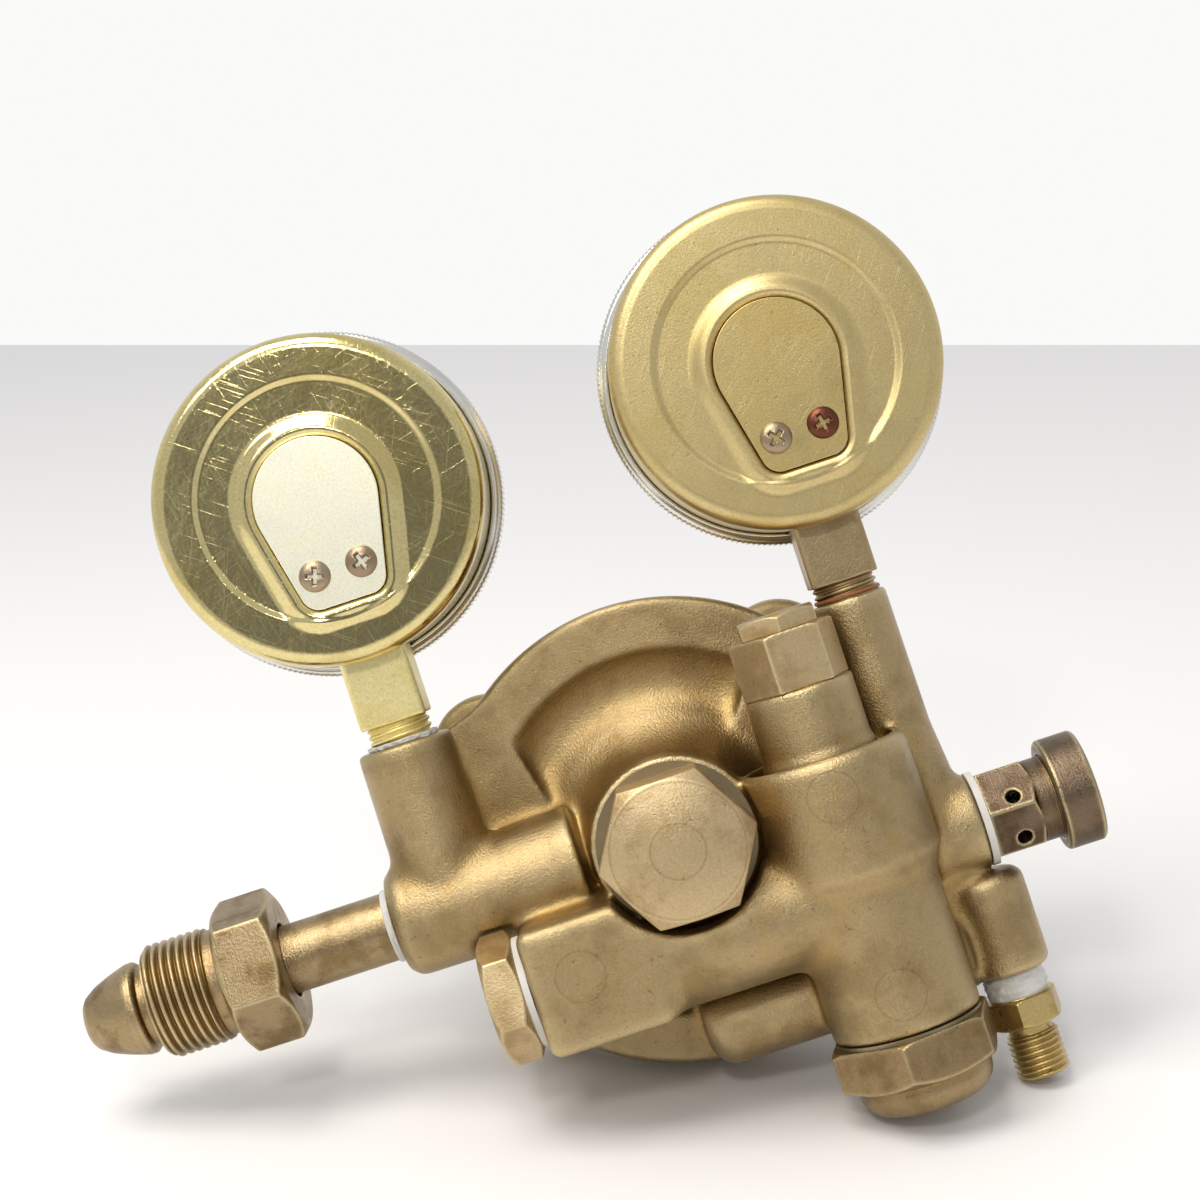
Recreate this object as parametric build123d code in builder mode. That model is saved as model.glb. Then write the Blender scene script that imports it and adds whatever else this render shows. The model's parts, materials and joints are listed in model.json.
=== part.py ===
from build123d import *
import os
from math import acos, atan, cos, degrees, hypot, pi, radians, sin, sqrt, tan

# Two-stage gas pressure regulator, all sizes in millimetres.
# Frame: origin in the middle of the inlet nut's thread, on the inlet axis.
# +X runs out towards the gas cylinder's valve, +Z up towards the gauges, and +Y to the
# back of the regulator, away from the adjusting handle and the gauge faces.
# Places on the body are given from the diaphragm axis and the back face of the rim.

# Clearances
running_clearance = 0.06
thread_clearance = 0.05
seat_clearance = 0.1
body_gap = 0.3

# Body, from the diaphragm axis and the rim's back face
inlet_reach = 108.0
inlet_axis_y = 7.0
flange_radius = 50.0
flange_thickness = 12.0
rim_width = 10.6
chamber_radius = 36.0
chamber_depth = 5.0
groove_depth = 3.6
boss_radius = 17.5
boss_height = 24.0
inlet_arm_end = 61.5
inlet_arm_radius = 11.9
gauge_boss_top = 36.0
wall_radius = 2.5
passage_radius = 2.0

# First stage, whose barrel stands on end beside the boss
barrel_x = -33.3
barrel_y = 20.0
barrel_top = 8.0
barrel_foot = -50.0
barrel_upper_radius = 17.9
barrel_lower_radius = 15.6
barrel_step = -16.0
barrel_bore = 12.5
neck_radius = 11.5
neck_top = 22.0
neck_moat_depth = 3.0
neck_moat_radius = 15.4
stage_floor = -8.0
stage_floor_top = 0.0
block_end = 37.0
block_inner_end = 12.0
block_height = 26.4
block_back = 34.2
block_front = -3.0
block_blend = 7.0
arm_z = -20.0

# Delivery side
delivery_x = -50.0
delivery_boss_radius = 8.0
relief_z = -17.0
relief_face = -61.2
relief_boss_radius = 10.3
outlet_x = -58.0
outlet_boss_radius = 8.6
outlet_boss_foot = -49.0
outlet_boss_head = -28.0
foot_edge = -50.0
foot_radius = 9.0
foot_inner_x = 7.0

# Pipe threads and their ports
pipe_thread_radius = 6.85
port_depth = 11.0

# Inlet nipple and nut
nipple_stem_radius = 7.3
nipple_neck_radius = 8.0
nipple_nose_radius = 9.9
nipple_bore = 2.6
nose_shoulder = 9.2
nose_tip = 22.0
nose_cone = 9.6
nose_cone_radius = 7.2
nose_end_radius = 4.4
nose_edge = 0.6
nose_land = 2.0
nose_bulge = 0.35
nose_tip_round = 0.9
nose_tip_step = 1.3
nut_thread_radius = 12.25
nut_thread_length = 13.3
nut_collar_radius = 11.3
nut_collar_length = 3.0
nut_across_flats = 28.6
nut_hex_length = 13.0
seal_ring_radius = 8.1
seal_ring_width = 1.8
filter_length = 9.0

# Seat cap and second stage
seat_cap_across_flats = 28.6
seat_cap_hex = 15.6
seat_cap_dome = 1.8
seat_cap_thread = 11.0
seat_cap_shank = 15.0
seat_cap_pocket = 6.5
gasket_thickness = 1.2
valve_chamber_floor = 6.0
nozzle_radius = 5.0
nozzle_flange_radius = 8.0
nozzle_flange = 2.0
nozzle_bore = 1.9
valve_radius = 4.2
valve_length = 4.0
valve_stem_radius = 1.2
valve_lift = 0.8

# Diaphragm, bonnet and adjusting gear
diaphragm_thickness = 1.0
plate_radius = 22.0
plate_thickness = 3.0
plate_hub_radius = 7.0
plate_hub = 2.0
bonnet_flange = 9.0
bonnet_depth = 37.0
bonnet_wall = 4.0
bonnet_shoulder_radius = 38.6
bonnet_crown_radius = 19.0
bonnet_boss_radius = 11.5
bonnet_boss = 12.0
lug_circle = 44.0
lug_radius = 12.0
lug_angle = 50.0
bonnet_screw_radius = 2.9
bonnet_screw_head_radius = 5.0
bonnet_screw_head = 5.5
bonnet_screw_depth = 8.0
adjusting_screw_radius = 6.0
adjusting_head_gap = 16.0
adjusting_head_radius = 8.5
adjusting_head_length = 17.0
handle_radius = 4.0
handle_half_length = 32.0
handle_ball_radius = 5.2
button_radius = 11.0
button_thickness = 4.0
main_spring_radius = 10.4
main_spring_wire = 1.8
main_spring_turns = 4.0
main_spring_length = 25.0

# First-stage pieces
top_cap_across_flats = 19.8
top_cap_hex = 12.0
top_cap_turn = 9.0
top_cap_shank = 16.0
top_cap_thread = 6.5
top_cap_pocket = 4.6
top_cap_pocket_top = 20.0
top_plug_across_flats = 16.0
top_plug_hex = 3.8
top_plug_thread = 4.0
top_plug_depth = 7.0
spring_cap_across_flats = 31.75
spring_cap_hex = 9.5
spring_cap_dome_radius = 14.0
spring_cap_turn = 19.0
spring_cap_dome = 6.5
spring_cap_shank = 9.0
spring_cap_gasket = 0.7
piston_top = -12.0
piston_height = 7.0
piston_skirt = 2.0
stage_spring_radius = 8.6
stage_spring_wire = 1.4
stage_spring_turns = 7.0
stage_valve_radius = 3.4
stage_valve_length = 6.0
small_spring_wire = 0.5
passage_plug_across_flats = 23.8
passage_plug_hex = 7.6
passage_plug_thread = 7.0
passage_plug_shank = 10.0
passage_plug_washer = 1.4
spot_face = 10.0

# Relief valve
relief_washer = 1.5
relief_across_flats = 17.6
relief_hex = 10.8
relief_collar_radius = 8.8
relief_collar = 3.4
relief_neck_radius = 9.0
relief_neck = 5.2
relief_chamber_radius = 6.0
relief_port_radius = 1.5
relief_cap_radius = 11.9
relief_cap_length = 8.4
relief_cap_end = 3.0
relief_poppet_radius = 5.2
relief_lift = 1.5

# Outlet fitting
outlet_tape_length = 5.5
outlet_across_flats = 14.3
outlet_hex = 6.0
outlet_neck = 2.0
outlet_neck_radius = 4.6
outlet_thread_radius = 5.56
outlet_thread_length = 9.1
outlet_bore = 2.3

# Gauges, the inlet one towards +X and the delivery one towards -X
gauge_back = 21.0
gauge_case_radius = 34.5
gauge_case_depth = 25.0
gauge_wall = 1.2
gauge_edge_round = 3.2
gauge_step_radius = 25.0
gauge_step = 0.6
window_radius = 13.0
window_foot_half_width = 9.2
window_foot = -22.0
window_corner = 4.0
window_bead = 2.6
window_bead_height = 1.6
plate_metal = 0.8
vent_radius = 8.0
gauge_screw_z = -15.0
gauge_screw_spacing = 10.0
gauge_screw_radius = 1.6
gauge_screw_head_radius = 3.45
gauge_screw_head = 2.0
socket_width = 14.3
socket_thread_show = {"inlet_gauge": 4.8, "delivery_gauge": 3.6}
socket_pad_top = -9.0
socket_block_top = -22.0
gauge_stem_y = 7.0
bezel_skirt_wall = 1.0
bezel_rim_wall = 2.7
bezel_lip = 2.0
bezel_skirt = 3.4
bezel_front = 8.0
lens_thickness = 2.0
dial_thickness = 0.8
dial_bore = 1.7
pointer_length = 25.0
pointer_tail = 8.0
pointer_rest_angle = 225.0
gear_module = 0.3
pinion_teeth = 12
sector_full_teeth = 96
sector_teeth = 15
sector_rest_tooth = 5
gear_face = 2.4
gear_front = 3.0
frame_plate = 1.0
frame_front = 1.4
frame_depth = 7.0
sector_tail = 8.5
sector_tail_angle = -12.0
link_pin_radius = 0.5
link_thickness = 0.8
tube_radius = 25.0
tube_width = 9.0
tube_thickness = 3.0
tube_start_angle = 262.0
tube_tip_angle = -20.0
gauges = {
    "inlet_gauge": {"x": 48.3, "z": 89.3},
    "delivery_gauge": {"x": delivery_x, "z": 86.6},
}

# Directions
TO_CYLINDER = (1, 0, 0)
TO_OUTSIDE = (-1, 0, 0)
BACK = (0, 1, 0)
FRONT = (0, -1, 0)
UP = (0, 0, 1)
DOWN = (0, 0, -1)


def place(x, y, z):
    """The point x, y, z from the diaphragm axis and the back face of the rim."""
    return (x - inlet_reach, y - inlet_axis_y, z)


def lathe_plane(origin, along):
    """A plane whose x runs along an axis and whose y is the radius from it."""
    side = Vector(0, 0, 1)
    if abs(Vector(*along).normalized().dot(side)) > 0.9:
        side = Vector(1, 0, 0)
    return Plane(origin=origin, x_dir=along, z_dir=Vector(*along).cross(side))


def turned(outline, origin, along, mode=Mode.ADD):
    """Revolve an outline of (along, radius) points about the axis through origin."""
    with BuildSketch(lathe_plane(origin, along)) as profile:
        with BuildLine():
            Polyline(*outline, close=True)
        make_face()
    revolve(profile.sketch, axis=Axis(origin, along), mode=mode)


def bar(origin, along, start, end, radius, mode=Mode.ADD):
    """A round bar, or with Mode.SUBTRACT a drilled hole, along an axis."""
    low, high = min(start, end), max(start, end)
    turned([(low, 0), (low, radius), (high, radius), (high, 0)], origin, along, mode)


def ring(origin, along, start, end, inner, outer, mode=Mode.ADD):
    """A flat ring, such as a washer, along an axis."""
    low, high = min(start, end), max(start, end)
    turned([(low, inner), (low, outer), (high, outer), (high, inner)], origin, along, mode)


def passage(start, end, radius):
    """A drilled gas passage between two points of the body."""
    run = Vector(*end) - Vector(*start)
    bar(start, tuple(run), 0, run.length, radius, Mode.SUBTRACT)


def hexagon(origin, along, start, end, across_flats, turn=0.0):
    """A hexagonal bar along an axis, turned about it by turn degrees."""
    plane = lathe_plane(origin, along)
    seat = Plane(
        origin=Vector(*origin) + Vector(*along) * start,
        x_dir=plane.y_dir,
        z_dir=along,
    )
    with BuildSketch(seat) as profile:
        RegularPolygon(across_flats / 2, 6, major_radius=False, rotation=turn)
    extrude(profile.sketch, amount=end - start)


def hex_corners_turned(origin, along, start, end, across_flats, near, far, slope=30):
    """Turn the corners of a hexagonal bar down, near or far as a share of the corner."""
    corner = across_flats / sqrt(3)
    cut = corner - across_flats / 2 * 0.97
    rise = cut * tan(radians(slope))
    turned(
        [
            (start, 0),
            (start, corner - cut * near),
            (start + rise * near, corner + 0.01),
            (end - rise * far, corner + 0.01),
            (end, corner - cut * far),
            (end, 0),
        ],
        origin,
        along,
        Mode.INTERSECT,
    )


def spring(origin, along, start, end, coil_radius, wire_radius, turns):
    """A helical spring whose ends lie inside start and end."""
    height = end - start - 2 * wire_radius
    foot = Vector(*origin) + Vector(*along) * (start + wire_radius)
    with BuildLine() as coil:
        Helix(pitch=height / turns, height=height, radius=coil_radius, center=foot, direction=along)
    with BuildSketch(Plane(origin=coil.line @ 0, z_dir=coil.line % 0)) as wire:
        RegularPolygon(wire_radius, 8)
    sweep(wire.sketch, path=coil.line, is_frenet=True)


def involute(angle):
    """The involute function of a pressure angle in radians."""
    return tan(angle) - angle


def gear_outline(teeth, count, thickness_share):
    """Points round count teeth of a gear of full size teeth, centred on the +x direction."""
    pitch_radius = gear_module * teeth / 2
    base_radius = pitch_radius * cos(radians(20))
    root_radius = pitch_radius - 1.25 * gear_module
    tip_radius = pitch_radius + 0.8 * gear_module
    half_tooth = thickness_share * pi * gear_module / (2 * pitch_radius)
    at_pitch = involute(radians(20))
    radii = [max(root_radius, base_radius), pitch_radius, tip_radius]
    halves = [half_tooth + at_pitch - involute(acos(base_radius / r)) for r in radii]
    points = []
    for tooth in range(count):
        middle = 2 * pi / teeth * (tooth - (count - 1) / 2)
        flank = [(root_radius, halves[0])] if root_radius < base_radius else []
        flank += list(zip(radii, halves))
        for radius, half in flank:
            points.append((radius * cos(middle - half), radius * sin(middle - half)))
        for radius, half in reversed(flank):
            points.append((radius * cos(middle + half), radius * sin(middle + half)))
    return points


def finish(part, name):
    """Name a finished piece and write it."""
    part.label = name
    export_step(part, f"parts/{name}.step")
    print(name, round(part.volume, 1))


os.makedirs("parts", exist_ok=True)

# Axes of the body
diaphragm_axis = place(0, 0, 0)
inlet_axis = place(0, inlet_axis_y, 0)
barrel_axis = place(barrel_x, barrel_y, 0)
arm_y = block_back - block_height / 2
arm_axis = place(0, arm_y, arm_z)
relief_axis = place(0, inlet_axis_y, relief_z)
outlet_axis = place(outlet_x, inlet_axis_y, 0)
rim_inner = flange_radius - rim_width
chamber_floor = chamber_depth - flange_thickness

# Squared end of the cross arm, with rounded corners
with BuildPart() as block:
    with BuildSketch(Plane.YZ.offset(block_inner_end - inlet_reach)):
        with Locations(((block_back + block_front) / 2 - inlet_axis_y, arm_z)):
            Rectangle(block_back - block_front, block_height)
    extrude(amount=block_end - block_inner_end)
    rounded = block.edges().filter_by(Axis.X).group_by(Axis.Y)[-1]
    rounded += block.faces().sort_by(Axis.X)[-1].edges().filter_by(Axis.Z).group_by(Axis.Y)[-1]
    rounded += block.faces().sort_by(Axis.X)[-1].edges().filter_by(Axis.Y)
    fillet(rounded, wall_radius)

# Blend from the squared end to the round arm
with BuildPart() as arm_blend:
    with BuildSketch(Plane.YZ.offset(block_inner_end - inlet_reach)):
        with Locations((arm_y - inlet_axis_y, arm_z)):
            RectangleRounded(block_height, block_height, wall_radius)
    with BuildSketch(Plane.YZ.offset(block_inner_end - block_blend - inlet_reach)):
        with Locations((arm_y - inlet_axis_y, arm_z)):
            Circle(block_height / 2 - 0.2)
    loft()

# Forged body
with BuildPart() as body:
    # Flange with its flat rim, hollowed ring and central boss
    with BuildSketch(lathe_plane(diaphragm_axis, BACK)):
        with BuildLine():
            Polyline((boss_height, 0), (-flange_thickness, 0), (-flange_thickness, flange_radius))
            Polyline((-flange_thickness, flange_radius), (-0.8, flange_radius), (0, flange_radius - 0.8))
            Line((0, flange_radius - 0.8), (0, rim_inner))
            ThreePointArc((0, rim_inner), (-groove_depth, rim_inner - 6.4), (-1.0, 25.5))
            ThreePointArc((-1.0, 25.5), (3.4, 20.6), (11.0, boss_radius))
            Polyline((11.0, boss_radius), (boss_height, boss_radius), (boss_height, 0))
        make_face()
    revolve(axis=Axis(diaphragm_axis, BACK))
    # Webs that tie the gauge bosses and the delivery side to the flange
    with BuildSketch(Plane.XZ.offset(inlet_axis_y)):
        with BuildLine():
            Polyline(
                (20 - inlet_reach, 0),
                (30 - inlet_reach, 39.2),
                (38.5 - inlet_reach, gauge_boss_top),
                (45 - inlet_reach, gauge_boss_top - 2),
                (45 - inlet_reach, 0),
                close=True,
            )
        make_face()
        with BuildLine():
            Polyline(
                (-30 - inlet_reach, 34),
                (delivery_x - 2 - inlet_reach, 24),
                (delivery_x - 6 - inlet_reach, relief_z),
                (outlet_x - 2 - inlet_reach, outlet_boss_head),
                (outlet_x - inlet_reach, foot_edge + 6),
                (outlet_x + 6 - inlet_reach, foot_edge),
                (foot_inner_x - 5 - inlet_reach, foot_edge),
                (foot_inner_x - inlet_reach, foot_edge + 5),
                (foot_inner_x - inlet_reach, -20),
                close=True,
            )
        make_face()
    extrude(amount=flange_thickness)
    # Inlet arm and the boss of its gauge
    turned(
        [
            (20, 0),
            (20, inlet_arm_radius + 1.0),
            (block_end, inlet_arm_radius + 0.2),
            (inlet_arm_end - 2.2, inlet_arm_radius),
            (inlet_arm_end, inlet_arm_radius - 2.0),
            (inlet_arm_end, 0),
        ],
        inlet_axis,
        TO_CYLINDER,
    )
    turned(
        [
            (0, 0),
            (0, 10.5),
            (gauge_boss_top - 0.6, 10.2),
            (gauge_boss_top, 9.6),
            (gauge_boss_top, 0),
        ],
        place(gauges["inlet_gauge"]["x"], inlet_axis_y, 0),
        UP,
    )
    # Cross arm: squared at its plugged end, round towards the barrel
    add(block.part)
    add(arm_blend.part)
    bar(arm_axis, TO_CYLINDER, barrel_x, block_inner_end + 1, block_height / 2)
    # First-stage barrel with its neck
    turned(
        [
            (barrel_foot, 0),
            (barrel_foot, barrel_lower_radius - 0.8),
            (barrel_foot + 0.8, barrel_lower_radius),
            (barrel_step - 4, barrel_lower_radius),
            (barrel_step, barrel_upper_radius),
            (barrel_top - 2.4, barrel_upper_radius),
            (barrel_top - 0.7, barrel_upper_radius - 0.7),
            (barrel_top, barrel_upper_radius - 2.4),
            (barrel_top, 0),
        ],
        barrel_axis,
        UP,
    )
    ring(
        barrel_axis,
        UP,
        barrel_top - neck_moat_depth,
        barrel_top,
        neck_radius + 0.6,
        neck_moat_radius,
        Mode.SUBTRACT,
    )
    turned(
        [
            (barrel_top - neck_moat_depth, 0),
            (barrel_top - neck_moat_depth, neck_radius + 1.4),
            (barrel_top - 1, neck_radius),
            (neck_top, neck_radius),
            (neck_top, 0),
        ],
        barrel_axis,
        UP,
    )
    # Saddle that carries the barrel on the flange
    with BuildSketch(Plane.XY.offset(barrel_foot + 4)):
        with Locations((barrel_x - inlet_reach, barrel_y / 2 - inlet_axis_y - 2)):
            Rectangle(2 * barrel_lower_radius - 6, barrel_y + 4)
    extrude(amount=barrel_top - neck_moat_depth - barrel_foot - 8)
    # Delivery gauge boss, relief boss and outlet boss
    turned(
        [
            (relief_z, 0),
            (relief_z, delivery_boss_radius + 1.6),
            (-4, delivery_boss_radius + 1.2),
            (6, delivery_boss_radius + 0.2),
            (gauge_boss_top - 0.6, delivery_boss_radius),
            (gauge_boss_top, delivery_boss_radius - 0.6),
            (gauge_boss_top, 0),
        ],
        place(delivery_x, inlet_axis_y, 0),
        UP,
    )
    turned(
        [
            (30, 0),
            (30, relief_boss_radius),
            (-relief_face - 0.7, relief_boss_radius),
            (-relief_face, relief_boss_radius - 0.7),
            (-relief_face, 0),
        ],
        relief_axis,
        TO_OUTSIDE,
    )
    turned(
        [
            (outlet_boss_foot, 0),
            (outlet_boss_foot, outlet_boss_radius - 1),
            (outlet_boss_foot + 1, outlet_boss_radius),
            (outlet_boss_head - 1.6, outlet_boss_radius),
            (outlet_boss_head, outlet_boss_radius - 1.6),
            (outlet_boss_head, 0),
        ],
        outlet_axis,
        UP,
    )
    with BuildSketch(Plane.XY.offset(outlet_boss_foot + 3)):
        with Locations(((outlet_x + barrel_x) / 2 - inlet_reach, 1)):
            Rectangle(barrel_x - outlet_x, 9)
    extrude(amount=relief_z - outlet_boss_foot - 3)
    # Rounded foot that runs along the bottom to the outlet boss
    turned(
        [
            (-foot_inner_x, 0),
            (-foot_inner_x, foot_radius - 5.0),
            (0.8 - foot_inner_x, foot_radius - 2.8),
            (2.4 - foot_inner_x, foot_radius - 1.0),
            (5.0 - foot_inner_x, foot_radius),
            (-outlet_x - pipe_thread_radius - body_gap, foot_radius),
            (-outlet_x - pipe_thread_radius - body_gap, 0),
        ],
        place(0, inlet_axis_y, foot_edge + foot_radius),
        TO_OUTSIDE,
    )
    # Spot face for the seat cap's gasket, cut into the cross arm and the barrel's foot
    ring(diaphragm_axis, BACK, boss_height, block_back + 6, 0, boss_radius + 0.01, Mode.SUBTRACT)
    # Spot face under the passage plug, which just touches the inlet arm
    spot_radius = passage_plug_across_flats / sqrt(3) + body_gap
    bar(arm_axis, TO_CYLINDER, block_end, block_end + spot_face, spot_radius, Mode.SUBTRACT)
    # Diaphragm chamber, valve chamber and nozzle hole
    bar(diaphragm_axis, BACK, -flange_thickness, chamber_floor, chamber_radius, Mode.SUBTRACT)
    bar(diaphragm_axis, BACK, valve_chamber_floor, boss_height, seat_cap_thread, Mode.SUBTRACT)
    bar(diaphragm_axis, BACK, chamber_floor, valve_chamber_floor, nozzle_radius, Mode.SUBTRACT)
    # Inlet port, filter bore and both gauge ports
    bar(inlet_axis, TO_CYLINDER, inlet_arm_end - port_depth, inlet_arm_end, pipe_thread_radius, Mode.SUBTRACT)
    bar(
        inlet_axis,
        TO_CYLINDER,
        inlet_arm_end - port_depth - filter_length - 2,
        inlet_arm_end,
        pipe_thread_radius - 1.2,
        Mode.SUBTRACT,
    )
    for gauge in gauges.values():
        stem = place(gauge["x"], gauge_stem_y, 0)
        bar(stem, UP, gauge_boss_top - port_depth, gauge_boss_top, pipe_thread_radius, Mode.SUBTRACT)
    # First-stage bores: spring chamber, seat hole and the threaded neck
    bar(barrel_axis, UP, barrel_foot, stage_floor, barrel_bore, Mode.SUBTRACT)
    bar(barrel_axis, UP, stage_floor, stage_floor_top, nozzle_radius, Mode.SUBTRACT)
    bar(barrel_axis, UP, stage_floor_top, neck_top, top_cap_thread, Mode.SUBTRACT)
    # Plugged cross drilling and the relief and outlet ports
    bar(arm_axis, TO_CYLINDER, block_end - passage_plug_shank, block_end, passage_plug_thread, Mode.SUBTRACT)
    bar(relief_axis, TO_OUTSIDE, -relief_face - port_depth, -relief_face, pipe_thread_radius, Mode.SUBTRACT)
    bar(outlet_axis, UP, outlet_boss_foot, outlet_boss_foot + port_depth, pipe_thread_radius, Mode.SUBTRACT)
    # Gas passages
    inlet_gauge_x = gauges["inlet_gauge"]["x"]
    passage(
        place(inlet_gauge_x, inlet_axis_y, 0),
        place(inlet_gauge_x, inlet_axis_y, gauge_boss_top - port_depth + 1),
        passage_radius,
    )
    passage(
        place(inlet_arm_end - port_depth - filter_length, inlet_axis_y, 0),
        place(block_end - passage_plug_shank - 3, arm_y, arm_z),
        passage_radius,
    )
    passage(
        place(block_end - passage_plug_shank + 1, arm_y, arm_z),
        place(barrel_x + barrel_bore - 1, arm_y, arm_z),
        passage_radius,
    )
    passage(
        place(barrel_x + top_cap_thread - 1, barrel_y - 2, 3),
        place(-seat_cap_thread + 1, boss_height - 8, 0),
        passage_radius,
    )
    passage(
        place(delivery_x, inlet_axis_y, gauge_boss_top - port_depth + 1),
        place(delivery_x, inlet_axis_y, relief_z),
        passage_radius,
    )
    passage(
        place(1 - chamber_radius, chamber_floor - 1.5, relief_z * 0.3),
        place(delivery_x, inlet_axis_y, relief_z * 0.8),
        passage_radius,
    )
    passage(
        place(delivery_x, inlet_axis_y, relief_z),
        place(relief_face + port_depth - 1, inlet_axis_y, relief_z),
        passage_radius,
    )
    passage(
        place(outlet_x, inlet_axis_y, outlet_boss_foot + port_depth - 1),
        place(delivery_x, inlet_axis_y, relief_z),
        passage_radius,
    )
    # Tapped holes of the bonnet screws
    for side in (-1, 1):
        for level in (-1, 1):
            spot = place(
                side * lug_circle * sin(radians(lug_angle)),
                -flange_thickness,
                level * lug_circle * cos(radians(lug_angle)),
            )
            bar(spot, BACK, 0, bonnet_screw_depth + 1, bonnet_screw_radius, Mode.SUBTRACT)
finish(body.part, "body")

# Inlet nipple, from its pipe thread in the arm to its rounded nose
nut_thread_end = nut_thread_length / 2
nut_hex_start = -nut_thread_end - nut_collar_length - nut_hex_length
arm_face = inlet_arm_end - inlet_reach
with BuildPart() as inlet_nipple:
    with BuildSketch(lathe_plane((0, 0, 0), TO_CYLINDER)):
        with BuildLine():
            Polyline(
                (nose_tip, nipple_bore),
                (arm_face - port_depth + 1, nipple_bore),
                (arm_face - port_depth + 1, pipe_thread_radius - thread_clearance),
                (arm_face, pipe_thread_radius - thread_clearance),
                (arm_face, nipple_stem_radius),
                (nut_hex_start + 2.5, nipple_stem_radius),
                (nut_hex_start + 2.5, nipple_neck_radius),
                (nose_shoulder, nipple_neck_radius),
                (nose_shoulder, nipple_nose_radius - nose_edge),
                (nose_shoulder + nose_edge, nipple_nose_radius),
                (nose_shoulder + nose_land, nipple_nose_radius),
            )
            ThreePointArc(
                (nose_shoulder + nose_land, nipple_nose_radius),
                (nose_shoulder + 0.55 * nose_cone, (nipple_nose_radius + nose_cone_radius) / 2 + nose_bulge),
                (nose_shoulder + nose_cone, nose_cone_radius),
            )
            Polyline(
                (nose_shoulder + nose_cone, nose_cone_radius),
                (nose_tip - nose_tip_round, nose_end_radius + nose_tip_step),
                (nose_tip, nose_end_radius),
                (nose_tip, nipple_bore),
            )
        make_face()
    revolve(axis=Axis.X)
finish(inlet_nipple.part, "inlet_nipple")

with BuildPart() as nipple_seal_ring:
    seal_bore = nipple_stem_radius + thread_clearance
    ring((0, 0, 0), TO_CYLINDER, arm_face, arm_face + seal_ring_width, seal_bore, seal_ring_radius)
finish(nipple_seal_ring.part, "nipple_seal_ring")

# Sintered thimble filter behind the nipple
filter_radius = pipe_thread_radius - 1.2 - seat_clearance
filter_mouth = arm_face - port_depth
with BuildPart() as inlet_filter:
    turned(
        [
            (filter_mouth - filter_length, 0),
            (filter_mouth - filter_length, filter_radius),
            (filter_mouth, filter_radius),
            (filter_mouth, filter_radius - 2),
            (filter_mouth - filter_length + 2, filter_radius - 2),
            (filter_mouth - filter_length + 2, 0),
        ],
        (0, 0, 0),
        TO_CYLINDER,
    )
finish(inlet_filter.part, "inlet_filter")

# Inlet nut, free to turn on the nipple
with BuildPart() as inlet_nut:
    hexagon((0, 0, 0), TO_CYLINDER, nut_hex_start, nut_hex_start + nut_hex_length, nut_across_flats, 14)
    hex_corners_turned(
        (0, 0, 0), TO_CYLINDER, nut_hex_start, nut_hex_start + nut_hex_length, nut_across_flats, 1, 1
    )
    turned(
        [
            (nut_hex_start + 1, 0),
            (nut_hex_start + 1, nut_collar_radius),
            (-nut_thread_end, nut_collar_radius),
            (-nut_thread_end, nut_thread_radius),
            (nut_thread_end - 0.8, nut_thread_radius),
            (nut_thread_end, nut_thread_radius - 0.8),
            (nut_thread_end, 0),
        ],
        (0, 0, 0),
        TO_CYLINDER,
    )
    bar(
        (0, 0, 0),
        TO_CYLINDER,
        nut_hex_start,
        nut_thread_end,
        nipple_neck_radius + running_clearance,
        Mode.SUBTRACT,
    )
finish(inlet_nut.part, "inlet_nut")

# Seat cap on the boss, with the pocket of the valve spring
cap_foot = boss_height + gasket_thickness
cap_flat = cap_foot + seat_cap_hex
dome_rim = seat_cap_across_flats / 2 - 0.6
dome_sphere = (dome_rim**2 + seat_cap_dome**2) / (2 * seat_cap_dome)
dome_middle = cap_flat + seat_cap_dome - dome_sphere + sqrt(dome_sphere**2 - dome_rim**2 / 4)
with BuildPart() as seat_cap:
    hexagon(diaphragm_axis, BACK, cap_foot, cap_flat, seat_cap_across_flats, 30)
    hex_corners_turned(diaphragm_axis, BACK, cap_foot, cap_flat, seat_cap_across_flats, 0, 1, 42)
    with BuildSketch(lathe_plane(diaphragm_axis, BACK)):
        with BuildLine():
            Polyline(
                (cap_flat + seat_cap_dome, 0),
                (cap_foot - seat_cap_shank - gasket_thickness, 0),
                (cap_foot - seat_cap_shank - gasket_thickness, seat_cap_thread - thread_clearance),
                (cap_foot, seat_cap_thread - thread_clearance),
                (cap_foot, dome_rim),
                (cap_flat, dome_rim),
            )
            ThreePointArc((cap_flat, dome_rim), (dome_middle, dome_rim / 2), (cap_flat + seat_cap_dome, 0))
        make_face()
    revolve(axis=Axis(diaphragm_axis, BACK))
    bar(
        diaphragm_axis,
        BACK,
        boss_height - seat_cap_shank,
        cap_foot + 8,
        seat_cap_pocket,
        Mode.SUBTRACT,
    )
finish(seat_cap.part, "seat_cap")

with BuildPart() as seat_cap_gasket:
    ring(diaphragm_axis, BACK, boss_height, cap_foot, seat_cap_thread, seat_cap_across_flats / 2 + 2.2)
finish(seat_cap_gasket.part, "seat_cap_gasket")

# Passage plug and its washer in the squared end of the cross arm
plug_foot = block_end + passage_plug_washer
with BuildPart() as passage_plug:
    hexagon(arm_axis, TO_CYLINDER, plug_foot, plug_foot + passage_plug_hex, passage_plug_across_flats, 12)
    hex_corners_turned(
        arm_axis, TO_CYLINDER, plug_foot, plug_foot + passage_plug_hex, passage_plug_across_flats, 1, 1
    )
    bar(
        arm_axis,
        TO_CYLINDER,
        block_end - passage_plug_shank + 2,
        plug_foot + 1,
        passage_plug_thread - thread_clearance,
    )
finish(passage_plug.part, "passage_plug")

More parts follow.
